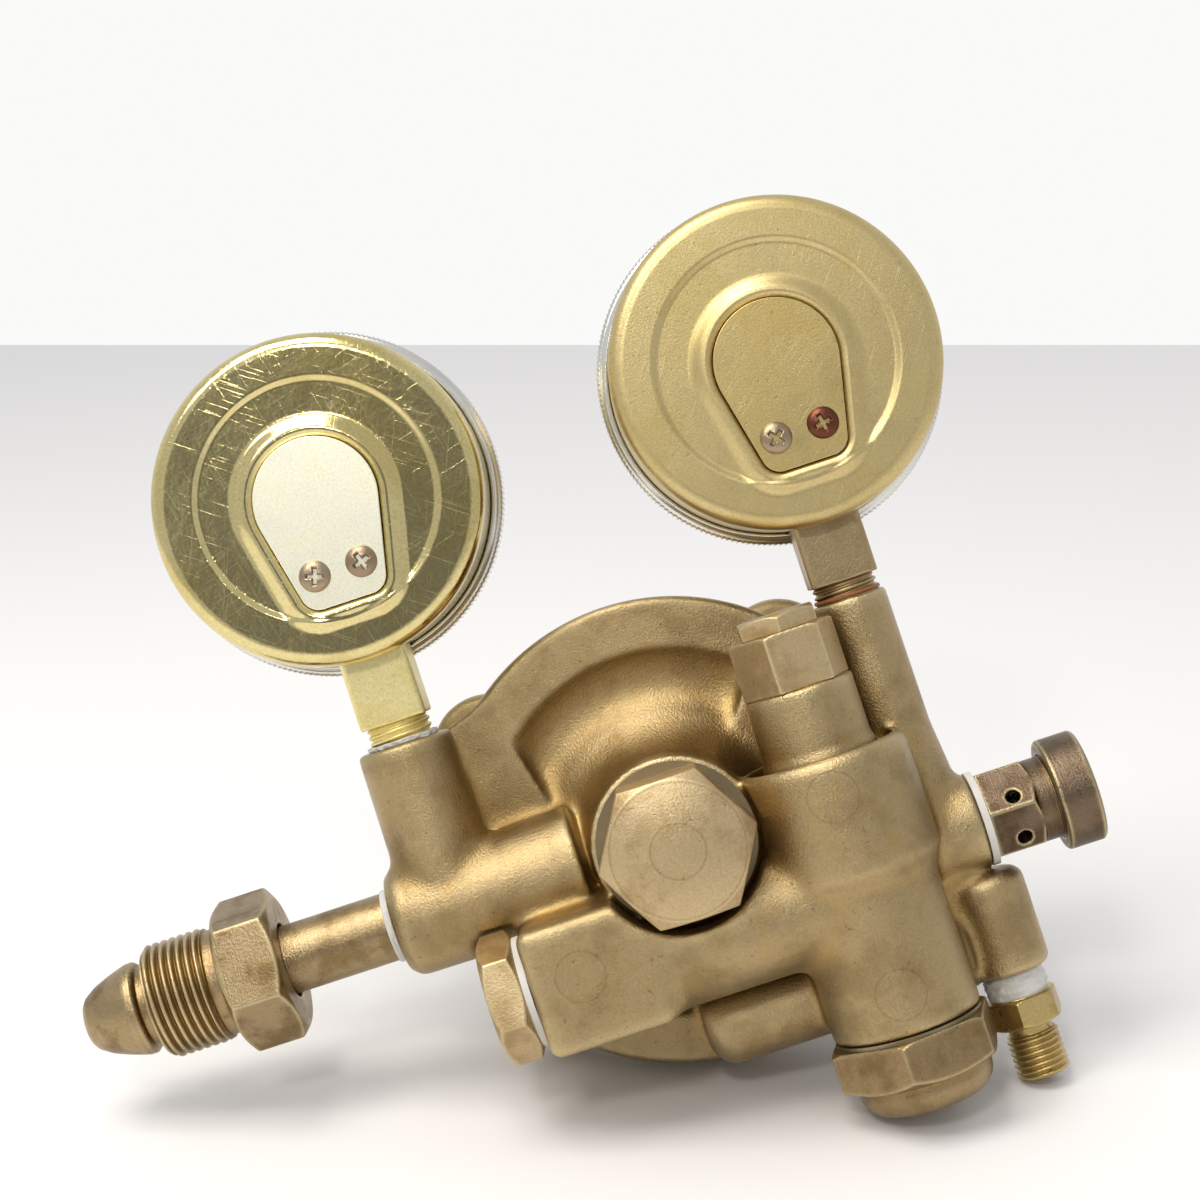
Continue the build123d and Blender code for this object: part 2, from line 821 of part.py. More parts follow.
with BuildPart() as passage_plug_gasket:
    ring(
        arm_axis, TO_CYLINDER, block_end, plug_foot, passage_plug_thread, passage_plug_across_flats / 2 - 0.4
    )
finish(passage_plug_gasket.part, "passage_plug_washer")

# Second-stage nozzle, valve and valve spring
nozzle_top = valve_chamber_floor + nozzle_flange
with BuildPart() as second_stage_nozzle:
    turned(
        [
            (chamber_floor, nozzle_bore),
            (chamber_floor, nozzle_radius - thread_clearance),
            (valve_chamber_floor, nozzle_radius - thread_clearance),
            (valve_chamber_floor, nozzle_flange_radius),
            (nozzle_top - 0.6, nozzle_flange_radius),
            (nozzle_top - 0.6, nozzle_bore + 1.6),
            (nozzle_top, nozzle_bore + 0.6),
            (nozzle_top, nozzle_bore),
        ],
        diaphragm_axis,
        BACK,
    )
finish(second_stage_nozzle.part, "second_stage_nozzle")

valve_back = nozzle_top + valve_length
with BuildPart() as second_stage_valve:
    turned(
        [
            (-flange_thickness, 0),
            (-flange_thickness, valve_stem_radius),
            (nozzle_top, valve_stem_radius),
            (nozzle_top, valve_radius),
            (valve_back, valve_radius),
            (valve_back, valve_radius - 1.6),
            (valve_back + 3, valve_radius - 1.6),
            (valve_back + 3, 0),
        ],
        diaphragm_axis,
        BACK,
    )
finish(second_stage_valve.part, "second_stage_valve")

with BuildPart() as second_stage_valve_spring:
    spring(diaphragm_axis, BACK, valve_back, cap_foot + 8, valve_radius - 0.8, small_spring_wire, 7)
finish(second_stage_valve_spring.part, "second_stage_valve_spring")

# Diaphragm and the plate that the main spring presses on it
diaphragm_front = -flange_thickness - diaphragm_thickness
with BuildPart() as diaphragm:
    bar(diaphragm_axis, BACK, diaphragm_front, -flange_thickness, flange_radius - 1)
    for side in (-1, 1):
        for level in (-1, 1):
            spot = place(
                side * lug_circle * sin(radians(lug_angle)),
                diaphragm_front,
                level * lug_circle * cos(radians(lug_angle)),
            )
            bar(spot, BACK, 0, diaphragm_thickness, bonnet_screw_radius + body_gap, Mode.SUBTRACT)
finish(diaphragm.part, "diaphragm")

plate_front = diaphragm_front - plate_thickness
with BuildPart() as diaphragm_plate:
    turned(
        [
            (diaphragm_front, 0),
            (diaphragm_front, plate_radius - 1),
            (diaphragm_front - 1, plate_radius),
            (plate_front + 0.6, plate_radius),
            (plate_front, plate_radius - 2),
            (plate_front, plate_hub_radius),
            (plate_front - plate_hub, plate_hub_radius - 0.6),
            (plate_front - plate_hub, 0),
        ],
        diaphragm_axis,
        BACK,
    )
finish(diaphragm_plate.part, "diaphragm_plate")

# Main spring, button and bonnet
spring_front = plate_front - main_spring_length
with BuildPart() as adjusting_spring:
    spring(
        diaphragm_axis,
        FRONT,
        -plate_front,
        -spring_front,
        main_spring_radius,
        main_spring_wire,
        main_spring_turns,
    )
finish(adjusting_spring.part, "adjusting_spring")

button_front = spring_front - button_thickness
with BuildPart() as spring_button:
    turned(
        [
            (spring_front + plate_hub, 0),
            (spring_front + plate_hub, plate_hub_radius - 0.6),
            (spring_front, plate_hub_radius),
            (spring_front, main_spring_radius + main_spring_wire + 0.3),
            (button_front + 1.4, button_radius + 1.5),
            (button_front, button_radius - 0.5),
            (button_front, 0),
        ],
        diaphragm_axis,
        BACK,
    )
finish(spring_button.part, "spring_button")

bonnet_back = diaphragm_front
flange_front = bonnet_back - bonnet_flange
crown = bonnet_back - bonnet_depth
boss_end = crown - bonnet_boss
with BuildPart() as bonnet:
    with BuildSketch(lathe_plane(diaphragm_axis, BACK)):
        with BuildLine():
            Polyline(
                (bonnet_back, 0),
                (bonnet_back, flange_radius - 1),
                (flange_front + 1, flange_radius - 1),
                (flange_front, flange_radius - 2),
                (flange_front, bonnet_shoulder_radius),
            )
            ThreePointArc(
                (flange_front, bonnet_shoulder_radius),
                ((flange_front + crown) / 2 - 5, (bonnet_shoulder_radius + bonnet_crown_radius) / 2 + 4),
                (crown, bonnet_crown_radius),
            )
            Polyline(
                (crown, bonnet_crown_radius),
                (crown, bonnet_boss_radius + 1),
                (boss_end + 1, bonnet_boss_radius),
                (boss_end, bonnet_boss_radius - 1),
                (boss_end, 0),
                (bonnet_back, 0),
            )
        make_face()
    revolve(axis=Axis(diaphragm_axis, BACK))
    for side in (-1, 1):
        for level in (-1, 1):
            spot = place(
                side * lug_circle * sin(radians(lug_angle)),
                bonnet_back,
                level * lug_circle * cos(radians(lug_angle)),
            )
            bar(spot, FRONT, 0, bonnet_flange, lug_radius)
    turned(
        [
            (bonnet_back, 0),
            (bonnet_back, chamber_radius),
            (flange_front, bonnet_shoulder_radius - bonnet_wall),
            ((flange_front + crown) / 2, (bonnet_shoulder_radius + bonnet_crown_radius) / 2 - bonnet_wall + 2),
            (crown + bonnet_wall, bonnet_crown_radius - bonnet_wall),
            (crown + bonnet_wall, 0),
        ],
        diaphragm_axis,
        BACK,
        Mode.SUBTRACT,
    )
    bar(
        diaphragm_axis,
        BACK,
        boss_end,
        crown + bonnet_wall,
        adjusting_screw_radius + running_clearance,
        Mode.SUBTRACT,
    )
    for side in (-1, 1):
        for level in (-1, 1):
            spot = place(
                side * lug_circle * sin(radians(lug_angle)),
                bonnet_back,
                level * lug_circle * cos(radians(lug_angle)),
            )
            bar(spot, FRONT, 0, bonnet_flange, bonnet_screw_radius + seat_clearance, Mode.SUBTRACT)
    # Vent that lets the spring side breathe
    vent = place(0, (flange_front + crown) / 2 + 3, -bonnet_crown_radius)
    bar(vent, DOWN, 0, bonnet_shoulder_radius, 1.6, Mode.SUBTRACT)
finish(bonnet.part, "bonnet")

# Screws through the bonnet's lugs into the body
with BuildPart() as bonnet_screws:
    for side in (-1, 1):
        for level in (-1, 1):
            spot = place(
                side * lug_circle * sin(radians(lug_angle)),
                flange_front,
                level * lug_circle * cos(radians(lug_angle)),
            )
            turned(
                [
                    (-bonnet_screw_head, 0),
                    (-bonnet_screw_head, bonnet_screw_head_radius - 0.6),
                    (0.6 - bonnet_screw_head, bonnet_screw_head_radius),
                    (0, bonnet_screw_head_radius),
                    (0, bonnet_screw_radius - thread_clearance),
                    (
                        bonnet_flange + diaphragm_thickness + bonnet_screw_depth,
                        bonnet_screw_radius - thread_clearance,
                    ),
                    (bonnet_flange + diaphragm_thickness + bonnet_screw_depth, 0),
                ],
                spot,
                BACK,
            )
    for side in (-1, 1):
        for level in (-1, 1):
            spot = Plane(
                origin=place(
                    side * lug_circle * sin(radians(lug_angle)),
                    flange_front - bonnet_screw_head,
                    level * lug_circle * cos(radians(lug_angle)),
                ),
                x_dir=(1, 0, 0),
                z_dir=BACK,
            )
            with BuildSketch(spot):
                RegularPolygon(2.4, 6)
            extrude(amount=bonnet_screw_head / 2, mode=Mode.SUBTRACT)
finish(bonnet_screws.part, "bonnet_screws")

# Adjusting screw with its eye, and the bar through it
head_start = boss_end - adjusting_head_gap
head_end = head_start - adjusting_head_length
handle_y = (head_start + head_end) / 2
with BuildPart() as adjusting_screw:
    turned(
        [
            (button_front, 0),
            (button_front, adjusting_screw_radius - 2.5),
            (button_front - 3, adjusting_screw_radius - 2.5),
            (button_front - 4, adjusting_screw_radius),
            (head_start, adjusting_screw_radius),
            (head_start - 2, adjusting_head_radius),
            (head_end + 1.5, adjusting_head_radius),
            (head_end, adjusting_head_radius - 1.5),
            (head_end, 0),
        ],
        diaphragm_axis,
        BACK,
    )
    bar(
        place(0, handle_y, 0),
        TO_CYLINDER,
        -adjusting_head_radius,
        adjusting_head_radius,
        handle_radius + thread_clearance,
        Mode.SUBTRACT,
    )
finish(adjusting_screw.part, "adjusting_screw")

with BuildPart() as adjusting_handle:
    turned(
        [
            (-handle_half_length, 0),
            (-handle_half_length, handle_ball_radius - 1.6),
            (1.6 - handle_half_length, handle_ball_radius),
            (8 - handle_half_length, handle_ball_radius),
            (11 - handle_half_length, handle_radius),
            (handle_half_length - 11, handle_radius),
            (handle_half_length - 8, handle_ball_radius),
            (handle_half_length - 1.6, handle_ball_radius),
            (handle_half_length, handle_ball_radius - 1.6),
            (handle_half_length, 0),
        ],
        place(0, handle_y, 0),
        TO_CYLINDER,
    )
finish(adjusting_handle.part, "adjusting_handle")

# First-stage top cap, threaded into the neck, and the plug on it
cap_top = neck_top + top_cap_hex
with BuildPart() as first_stage_top_cap:
    hexagon(barrel_axis, UP, neck_top, cap_top, top_cap_across_flats, top_cap_turn)
    hex_corners_turned(barrel_axis, UP, neck_top, cap_top, top_cap_across_flats, 0, 0.5)
    bar(barrel_axis, UP, neck_top - top_cap_shank, neck_top + 1, top_cap_thread - thread_clearance)
    bar(barrel_axis, UP, neck_top - top_cap_shank, top_cap_pocket_top, top_cap_pocket, Mode.SUBTRACT)
    bar(barrel_axis, UP, cap_top - top_plug_depth, cap_top, top_plug_thread, Mode.SUBTRACT)
finish(first_stage_top_cap.part, "first_stage_top_cap")

with BuildPart() as first_stage_adjusting_plug:
    hexagon(barrel_axis, UP, cap_top, cap_top + top_plug_hex, top_plug_across_flats, top_cap_turn + 20)
    hex_corners_turned(barrel_axis, UP, cap_top, cap_top + top_plug_hex, top_plug_across_flats, 0, 1)
    bar(barrel_axis, UP, cap_top - top_plug_depth + 1, cap_top + 1, top_plug_thread - thread_clearance)
finish(first_stage_adjusting_plug.part, "first_stage_adjusting_plug")

# First-stage nozzle, valve, piston and springs
stage_nozzle_top = stage_floor_top + 2
with BuildPart() as first_stage_nozzle:
    turned(
        [
            (stage_floor, nozzle_bore),
            (stage_floor, nozzle_radius - thread_clearance),
            (stage_floor_top, nozzle_radius - thread_clearance),
            (stage_floor_top, top_cap_thread - 0.3),
            (stage_nozzle_top - 0.6, top_cap_thread - 0.3),
            (stage_nozzle_top - 0.6, nozzle_bore + 1.4),
            (stage_nozzle_top, nozzle_bore + 0.5),
            (stage_nozzle_top, nozzle_bore),
        ],
        barrel_axis,
        UP,
    )
finish(first_stage_nozzle.part, "first_stage_nozzle")

stage_valve_foot = stage_nozzle_top + valve_lift
stage_valve_top = stage_valve_foot + stage_valve_length
with BuildPart() as first_stage_valve:
    turned(
        [
            (piston_top, 0),
            (piston_top, valve_stem_radius),
            (stage_valve_foot, valve_stem_radius),
            (stage_valve_foot, stage_valve_radius),
            (stage_valve_top, stage_valve_radius),
            (stage_valve_top, stage_valve_radius - 1.4),
            (stage_valve_top + 3, stage_valve_radius - 1.4),
            (stage_valve_top + 3, 0),
        ],
        barrel_axis,
        UP,
    )
finish(first_stage_valve.part, "first_stage_valve")

with BuildPart() as first_stage_valve_spring:
    spring(
        barrel_axis, UP, stage_valve_top, top_cap_pocket_top, stage_valve_radius - 0.6, small_spring_wire, 6
    )
finish(first_stage_valve_spring.part, "first_stage_valve_spring")

piston_foot = piston_top - piston_height
with BuildPart() as first_stage_piston:
    turned(
        [
            (piston_top, 0),
            (piston_top, barrel_bore - running_clearance - 0.8),
            (piston_top - 0.8, barrel_bore - running_clearance),
            (piston_foot, barrel_bore - running_clearance),
            (piston_foot, stage_spring_radius + stage_spring_wire + 0.5),
            (piston_foot + piston_skirt, stage_spring_radius + stage_spring_wire + 0.5),
            (piston_foot + piston_skirt, 0),
        ],
        barrel_axis,
        UP,
    )
finish(first_stage_piston.part, "first_stage_piston")

cap_seat = barrel_foot - spring_cap_gasket
cap_hex_foot = cap_seat - spring_cap_hex
cap_end = cap_hex_foot - spring_cap_dome
pocket_floor = cap_hex_foot
with BuildPart() as first_stage_spring:
    spring(
        barrel_axis,
        UP,
        pocket_floor,
        piston_foot + piston_skirt,
        stage_spring_radius,
        stage_spring_wire,
        stage_spring_turns,
    )
finish(first_stage_spring.part, "first_stage_spring")

with BuildPart() as first_stage_spring_cap:
    hexagon(barrel_axis, UP, cap_hex_foot, cap_seat, spring_cap_across_flats, spring_cap_turn)
    hex_corners_turned(barrel_axis, UP, cap_hex_foot, cap_seat, spring_cap_across_flats, 1, 0.4)
    with BuildSketch(lathe_plane(barrel_axis, UP)):
        with BuildLine():
            Polyline(
                (cap_end, 0),
                (barrel_foot + spring_cap_shank, 0),
                (barrel_foot + spring_cap_shank, barrel_bore - thread_clearance),
                (cap_hex_foot, barrel_bore - thread_clearance),
                (cap_hex_foot, spring_cap_dome_radius),
                (cap_hex_foot - 1.6, spring_cap_dome_radius),
            )
            ThreePointArc(
                (cap_hex_foot - 1.6, spring_cap_dome_radius),
                (cap_end + 1.2, spring_cap_dome_radius - 1.6),
                (cap_end, spring_cap_dome_radius - 5),
            )
            Line((cap_end, spring_cap_dome_radius - 5), (cap_end, 0))
        make_face()
    revolve(axis=Axis(barrel_axis, UP))
    bar(
        barrel_axis,
        UP,
        pocket_floor,
        barrel_foot + spring_cap_shank,
        stage_spring_radius + stage_spring_wire + 0.6,
        Mode.SUBTRACT,
    )
finish(first_stage_spring_cap.part, "first_stage_spring_cap")

with BuildPart() as first_stage_cap_gasket:
    ring(barrel_axis, UP, cap_seat, barrel_foot, barrel_bore, barrel_lower_radius - 0.2)
finish(first_stage_cap_gasket.part, "first_stage_cap_gasket")

# Relief valve: places along its axis count from the diaphragm axis outwards
relief_seat = -relief_face
relief_hex_start = relief_seat + relief_washer
relief_hex_end = relief_hex_start + relief_hex
relief_neck_start = relief_hex_end + relief_collar
relief_neck_end = relief_neck_start + relief_neck
relief_floor = relief_hex_start + 2.0
with BuildPart() as relief_valve_washer:
    ring(relief_axis, TO_OUTSIDE, relief_seat, relief_hex_start, pipe_thread_radius, relief_boss_radius - 0.2)
finish(relief_valve_washer.part, "relief_valve_washer")

with BuildPart() as relief_valve_body:
    hexagon(relief_axis, TO_OUTSIDE, relief_hex_start, relief_hex_end, relief_across_flats, 22)
    hex_corners_turned(relief_axis, TO_OUTSIDE, relief_hex_start, relief_hex_end, relief_across_flats, 0, 1)
    turned(
        [
            (relief_seat - port_depth + 1, 0),
            (relief_seat - port_depth + 1, pipe_thread_radius - thread_clearance),
            (relief_hex_start, pipe_thread_radius - thread_clearance),
            (relief_hex_start, relief_collar_radius),
            (relief_neck_start, relief_collar_radius),
            (relief_neck_start, relief_neck_radius),
            (relief_neck_end, relief_neck_radius),
            (relief_neck_end, 0),
        ],
        relief_axis,
        TO_OUTSIDE,
    )
    bar(
        relief_axis,
        TO_OUTSIDE,
        relief_seat - port_depth + 1,
        relief_floor,
        passage_radius,
        Mode.SUBTRACT,
    )
    bar(relief_axis, TO_OUTSIDE, relief_floor, relief_neck_end, relief_chamber_radius, Mode.SUBTRACT)
    # A vent hole in each flat
    hole_middle = Vector(*relief_axis) + Vector(*TO_OUTSIDE) * (relief_hex_start + relief_hex * 0.55)
    for flat in range(6):
        angle = radians(22 + 30 + 60 * flat)
        outwards = (0, -sin(angle), cos(angle))
        bar(tuple(hole_middle), outwards, 3, relief_across_flats, relief_port_radius, Mode.SUBTRACT)
finish(relief_valve_body.part, "relief_valve_body")

poppet_top = relief_floor + 3.0
cap_floor = relief_neck_end + 0.4
with BuildPart() as relief_poppet:
    turned(
        [
            (relief_floor, 0),
            (relief_floor, relief_poppet_radius),
            (poppet_top, relief_poppet_radius),
            (poppet_top, 1.5),
            (relief_neck_end - relief_lift - 1, 1.5),
            (relief_neck_end - relief_lift - 1, 0),
        ],
        relief_axis,
        TO_OUTSIDE,
    )
finish(relief_poppet.part, "relief_poppet")

with BuildPart() as relief_valve_spring:
    spring(relief_axis, TO_OUTSIDE, poppet_top, cap_floor, 3.4, small_spring_wire, 7)
finish(relief_valve_spring.part, "relief_valve_spring")

with BuildPart() as relief_valve_cap:
    turned(
        [
            (cap_floor, 0),
            (cap_floor, relief_neck_radius + thread_clearance),
            (cap_floor + relief_cap_end - relief_cap_length, relief_neck_radius + thread_clearance),
            (cap_floor + relief_cap_end - relief_cap_length, relief_cap_radius - 0.6),
            (cap_floor + relief_cap_end - relief_cap_length + 0.6, relief_cap_radius),
            (cap_floor + relief_cap_end - 0.6, relief_cap_radius),
            (cap_floor + relief_cap_end, relief_cap_radius - 0.6),
            (cap_floor + relief_cap_end, 0),
        ],
        relief_axis,
        TO_OUTSIDE,
    )
finish(relief_valve_cap.part, "relief_valve_cap")

# Outlet fitting with its thread tape
outlet_hex_top = outlet_boss_foot - outlet_tape_length
outlet_hex_foot = outlet_hex_top - outlet_hex
outlet_thread_top = outlet_hex_foot - outlet_neck
outlet_end = outlet_thread_top - outlet_thread_length
with BuildPart() as outlet_fitting:
    hexagon(outlet_axis, UP, outlet_hex_foot, outlet_hex_top, outlet_across_flats, 16)
    hex_corners_turned(outlet_axis, UP, outlet_hex_foot, outlet_hex_top, outlet_across_flats, 1, 0.6)
    turned(
        [
            (outlet_boss_foot + port_depth - 1, 0),
            (outlet_boss_foot + port_depth - 1, pipe_thread_radius - thread_clearance),
            (outlet_boss_foot, pipe_thread_radius - thread_clearance),
            (outlet_boss_foot, pipe_thread_radius - 0.7),
            (outlet_hex_top, pipe_thread_radius - 0.7),
            (outlet_hex_foot, pipe_thread_radius - 0.7),
            (outlet_hex_foot, outlet_neck_radius),
            (outlet_thread_top, outlet_neck_radius),
            (outlet_thread_top, outlet_thread_radius),
            (outlet_end, outlet_thread_radius),
            (outlet_end, 0),
        ],
        outlet_axis,
        UP,
    )
    bar(outlet_axis, UP, outlet_end, outlet_boss_foot + port_depth - 1, outlet_bore, Mode.SUBTRACT)
    # Cone that the hose's flare seats on
    turned(
        [(outlet_end, 0), (outlet_end, outlet_thread_radius - 1.2), (outlet_end + 3.2, 0)],
        outlet_axis,
        UP,
        Mode.SUBTRACT,
    )
finish(outlet_fitting.part, "outlet_fitting")

with BuildPart() as outlet_thread_tape:
    turned(
        [
            (outlet_boss_foot, pipe_thread_radius - 0.65),
            (outlet_boss_foot, pipe_thread_radius),
            (outlet_hex_top + 0.6, pipe_thread_radius - 0.1),
            (outlet_hex_top, pipe_thread_radius - 0.4),
            (outlet_hex_top, pipe_thread_radius - 0.65),
        ],
        outlet_axis,
        UP,
    )
finish(outlet_thread_tape.part, "outlet_thread_tape")

# Gauges: both have the same pieces, so one loop makes them
case_front = gauge_back - gauge_case_depth
case_floor = gauge_back - gauge_step - gauge_wall
plate_seat = gauge_back - gauge_step
dial_front = case_front - dial_thickness
lens_back = dial_front - 4.2
gear_distance = gear_module * (sector_full_teeth + pinion_teeth) / 2
gear_back = gear_front + gear_face
frame_back = frame_front + frame_depth


def keystone(grow):
    """The rounded keystone of the gauge's back plate, grown by grow."""
    waist = window_radius + grow
    foot_half = window_foot_half_width + grow
    low = window_foot - grow
    reach = hypot(foot_half, low)
    lean = acos(waist / reach) + atan(foot_half / low)
    touch = (waist * cos(lean), waist * sin(lean))
    with BuildLine() as outline:
        CenterArc((0, 0), waist, degrees(lean), 180 - 2 * degrees(lean))
        Polyline(touch, (foot_half, low), (-foot_half, low), (-touch[0], touch[1]))
        fillet(outline.vertices().group_by(Axis.Y)[0], window_corner + grow)
    make_face(outline.line)


def back_face(gauge, y):
    """A plane on a gauge's axis that faces the back, with its y upwards."""
    return Plane(origin=place(gauge["x"], y, gauge["z"]), x_dir=(-1, 0, 0), z_dir=BACK)


for name, gauge in gauges.items():
    centre = place(gauge["x"], 0, gauge["z"])
    stem = place(gauge["x"], gauge_stem_y, 0)
    screw_xs = (gauge["x"] - gauge_screw_spacing / 2, gauge["x"] + gauge_screw_spacing / 2)
    socket_foot = gauge_boss_top + socket_thread_show[name]
    tube_y = gauge_stem_y + 4

    # Bead that is rolled up round the window of the case
    with BuildPart() as bead:
        with BuildSketch(back_face(gauge, plate_seat - gauge_wall / 2)):
            keystone(window_bead)
        extrude(amount=window_bead_height + gauge_wall / 2)
        fillet(bead.faces().sort_by(Axis.Y)[-1].edges(), window_bead_height * 0.7)

    # Case: a pressed cup with a keystone window on its back
    with BuildPart() as gauge_case:
        with BuildSketch(lathe_plane(centre, BACK)):
            with BuildLine():
                Line((case_front, gauge_case_radius), (gauge_back - gauge_edge_round, gauge_case_radius))
                ThreePointArc(
                    (gauge_back - gauge_edge_round, gauge_case_radius),
                    (gauge_back - 0.29 * gauge_edge_round, gauge_case_radius - 0.29 * gauge_edge_round),
                    (gauge_back, gauge_case_radius - gauge_edge_round),
                )
                Polyline(
                    (gauge_back, gauge_case_radius - gauge_edge_round),
                    (gauge_back, gauge_step_radius + 0.5),
                    (plate_seat, gauge_step_radius - 0.5),
                    (plate_seat, 0),
                    (case_floor, 0),
                    (case_floor, gauge_case_radius - gauge_edge_round),
                    (gauge_back - gauge_edge_round, gauge_case_radius - gauge_wall),
                    (case_front, gauge_case_radius - gauge_wall),
                    (case_front, gauge_case_radius),
                )
            make_face()
        revolve(axis=Axis(centre, BACK))
        add(bead.part)
        with BuildSketch(back_face(gauge, plate_seat)):
            keystone(seat_clearance)
        extrude(amount=window_bead_height + 1, mode=Mode.SUBTRACT)
        bar(centre, BACK, case_floor, plate_seat, vent_radius, Mode.SUBTRACT)
        for x in screw_xs:
            spot = place(x, 0, gauge["z"] + gauge_screw_z)
            bar(spot, BACK, case_floor, plate_seat, gauge_screw_radius + seat_clearance, Mode.SUBTRACT)
        # Slot for the socket, open at the case's front edge
        slot_back = gauge_stem_y + socket_width / 2 + seat_clearance
        with BuildSketch(Plane.XY.offset(gauge["z"] - gauge_case_radius - 1)):
            with Locations((gauge["x"] - inlet_reach, (case_front - 1 + slot_back) / 2 - inlet_axis_y)):
                Rectangle(socket_width + 2 * seat_clearance, slot_back - case_front + 1)
        extrude(amount=gauge_case_radius / 3, mode=Mode.SUBTRACT)
    finish(gauge_case.part, f"{name}_case")

    # Back plate and its two screws
    with BuildPart() as gauge_back_plate:
        with BuildSketch(back_face(gauge, plate_seat)):
            keystone(0)
        extrude(amount=plate_metal)
        for x in screw_xs:
            spot = place(x, 0, gauge["z"] + gauge_screw_z)
            hole = gauge_screw_radius + seat_clearance
            bar(spot, BACK, plate_seat, plate_seat + plate_metal, hole, Mode.SUBTRACT)
    finish(gauge_back_plate.part, f"{name}_back_plate")

    screw_seat = plate_seat + plate_metal
    with BuildPart() as gauge_case_screws:
        for x in screw_xs:
            turned(
                [
                    (screw_seat - 8, 0),
                    (screw_seat - 8, gauge_screw_radius),
                    (screw_seat, gauge_screw_radius),
                    (screw_seat, gauge_screw_head_radius),
                    (screw_seat + 0.5, gauge_screw_head_radius),
                    (screw_seat + 1.5, gauge_screw_head_radius - 1.1),
                    (screw_seat + gauge_screw_head, gauge_screw_head_radius - 2.4),
                    (screw_seat + gauge_screw_head, 0),
                ],
                place(x, 0, gauge["z"] + gauge_screw_z),
                BACK,
            )
    finish(gauge_case_screws.part, f"{name}_case_screws")

    # Socket: pipe thread, square shank and the block that carries tube and movement
    block_top = gauge["z"] + socket_block_top
    with BuildPart() as gauge_socket:
        with BuildSketch(Plane.XY.offset(socket_foot)):
            with Locations((stem[0], stem[1])):
                Rectangle(socket_width, socket_width)
        extrude(amount=block_top - socket_foot)
        chamfer(gauge_socket.edges().filter_by(Axis.Z), 0.8)
        bar(stem, UP, gauge_boss_top - port_depth + 1, socket_foot + 1, pipe_thread_radius - thread_clearance)
        pad_front = gauge_stem_y + socket_width / 2 - 4
        with BuildSketch(Plane.XY.offset(block_top - 6)):
            with Locations((stem[0], (pad_front + case_floor) / 2 - inlet_axis_y)):
                Rectangle(gauge_screw_spacing + 4 * gauge_screw_radius, case_floor - pad_front)
        extrude(amount=socket_pad_top - socket_block_top + 6)
        bar(stem, UP, gauge_boss_top - port_depth + 1, block_top - 4, 1.6, Mode.SUBTRACT)
        # Slot milled across the block, in which the tube's foot is soldered
        ring(
            centre,
            BACK,
            tube_y - tube_width / 2 - thread_clearance,
            tube_y + tube_width / 2 + thread_clearance,
            tube_radius - tube_thickness / 2 - thread_clearance,
            tube_radius + tube_thickness / 2 + thread_clearance,
            Mode.SUBTRACT,
        )
        for x in screw_xs:
            spot = place(x, 0, gauge["z"] + gauge_screw_z)
            bar(spot, BACK, pad_front, case_floor, gauge_screw_radius + thread_clearance, Mode.SUBTRACT)
    finish(gauge_socket.part, f"{name}_socket")

    # Bezel ring, lens and dial
    bezel_end = case_front - bezel_front
    bezel_skirt_radius = gauge_case_radius + bezel_skirt_wall
    bezel_radius = gauge_case_radius + bezel_rim_wall
    bezel_lip_radius = gauge_case_radius - bezel_lip
    with BuildPart() as gauge_bezel:
        turned(
            [
                (case_front + bezel_skirt, gauge_case_radius + seat_clearance),
                (case_front + bezel_skirt, bezel_skirt_radius - 0.3),
                (case_front + 2.4, bezel_skirt_radius + 0.2),
                (case_front + 1.8, bezel_radius),
                (bezel_end + 3.0, bezel_radius),
                (bezel_end + 0.8, bezel_radius - 1.4),
                (bezel_end, bezel_radius - 3.0),
                (bezel_end, bezel_lip_radius),
                (lens_back - lens_thickness, bezel_lip_radius),
                (lens_back - lens_thickness, bezel_skirt_radius),
                (case_front, bezel_skirt_radius),
                (case_front, gauge_case_radius + seat_clearance),
            ],
            centre,
            BACK,
        )
    finish(gauge_bezel.part, f"{name}_bezel")

    with BuildPart() as gauge_lens:
        bar(centre, BACK, lens_back - lens_thickness, lens_back, bezel_skirt_radius - seat_clearance)
    finish(gauge_lens.part, f"{name}_lens")

    with BuildPart() as gauge_dial:
        ring(centre, BACK, dial_front, case_front, dial_bore, bezel_skirt_radius - seat_clearance)
    finish(gauge_dial.part, f"{name}_dial")

    # Pointer with its arbor and pinion, pressed together
    with BuildPart() as gauge_pointer:
        with BuildSketch(back_face(gauge, gear_front)):
            with BuildLine():
                Polyline(*gear_outline(pinion_teeth, pinion_teeth, 0.4), close=True)
            make_face()
        extrude(amount=gear_face)
        bar(centre, BACK, dial_front - 2.4, frame_back - 0.2, 0.8)
        bar(centre, BACK, dial_front - 2.4, dial_front - 0.5, 2.6)
        tilt = radians(pointer_rest_angle)
        with BuildSketch(back_face(gauge, dial_front - 2.0)):
            with BuildLine():
                along = (-cos(tilt), sin(tilt))
                across = (sin(tilt), cos(tilt))
                corners = [
                    (-pointer_tail, 1.8),
                    (pointer_length - 4, 0.9),
                    (pointer_length, 0.15),
                    (pointer_length, -0.15),
                    (pointer_length - 4, -0.9),
                    (-pointer_tail, -1.8),
                ]
                points = [(a * along[0] + b * across[0], a * along[1] + b * across[1]) for a, b in corners]
                Polyline(*points, close=True)
            make_face()
        extrude(amount=0.6)
    finish(gauge_pointer.part, f"{name}_pointer")

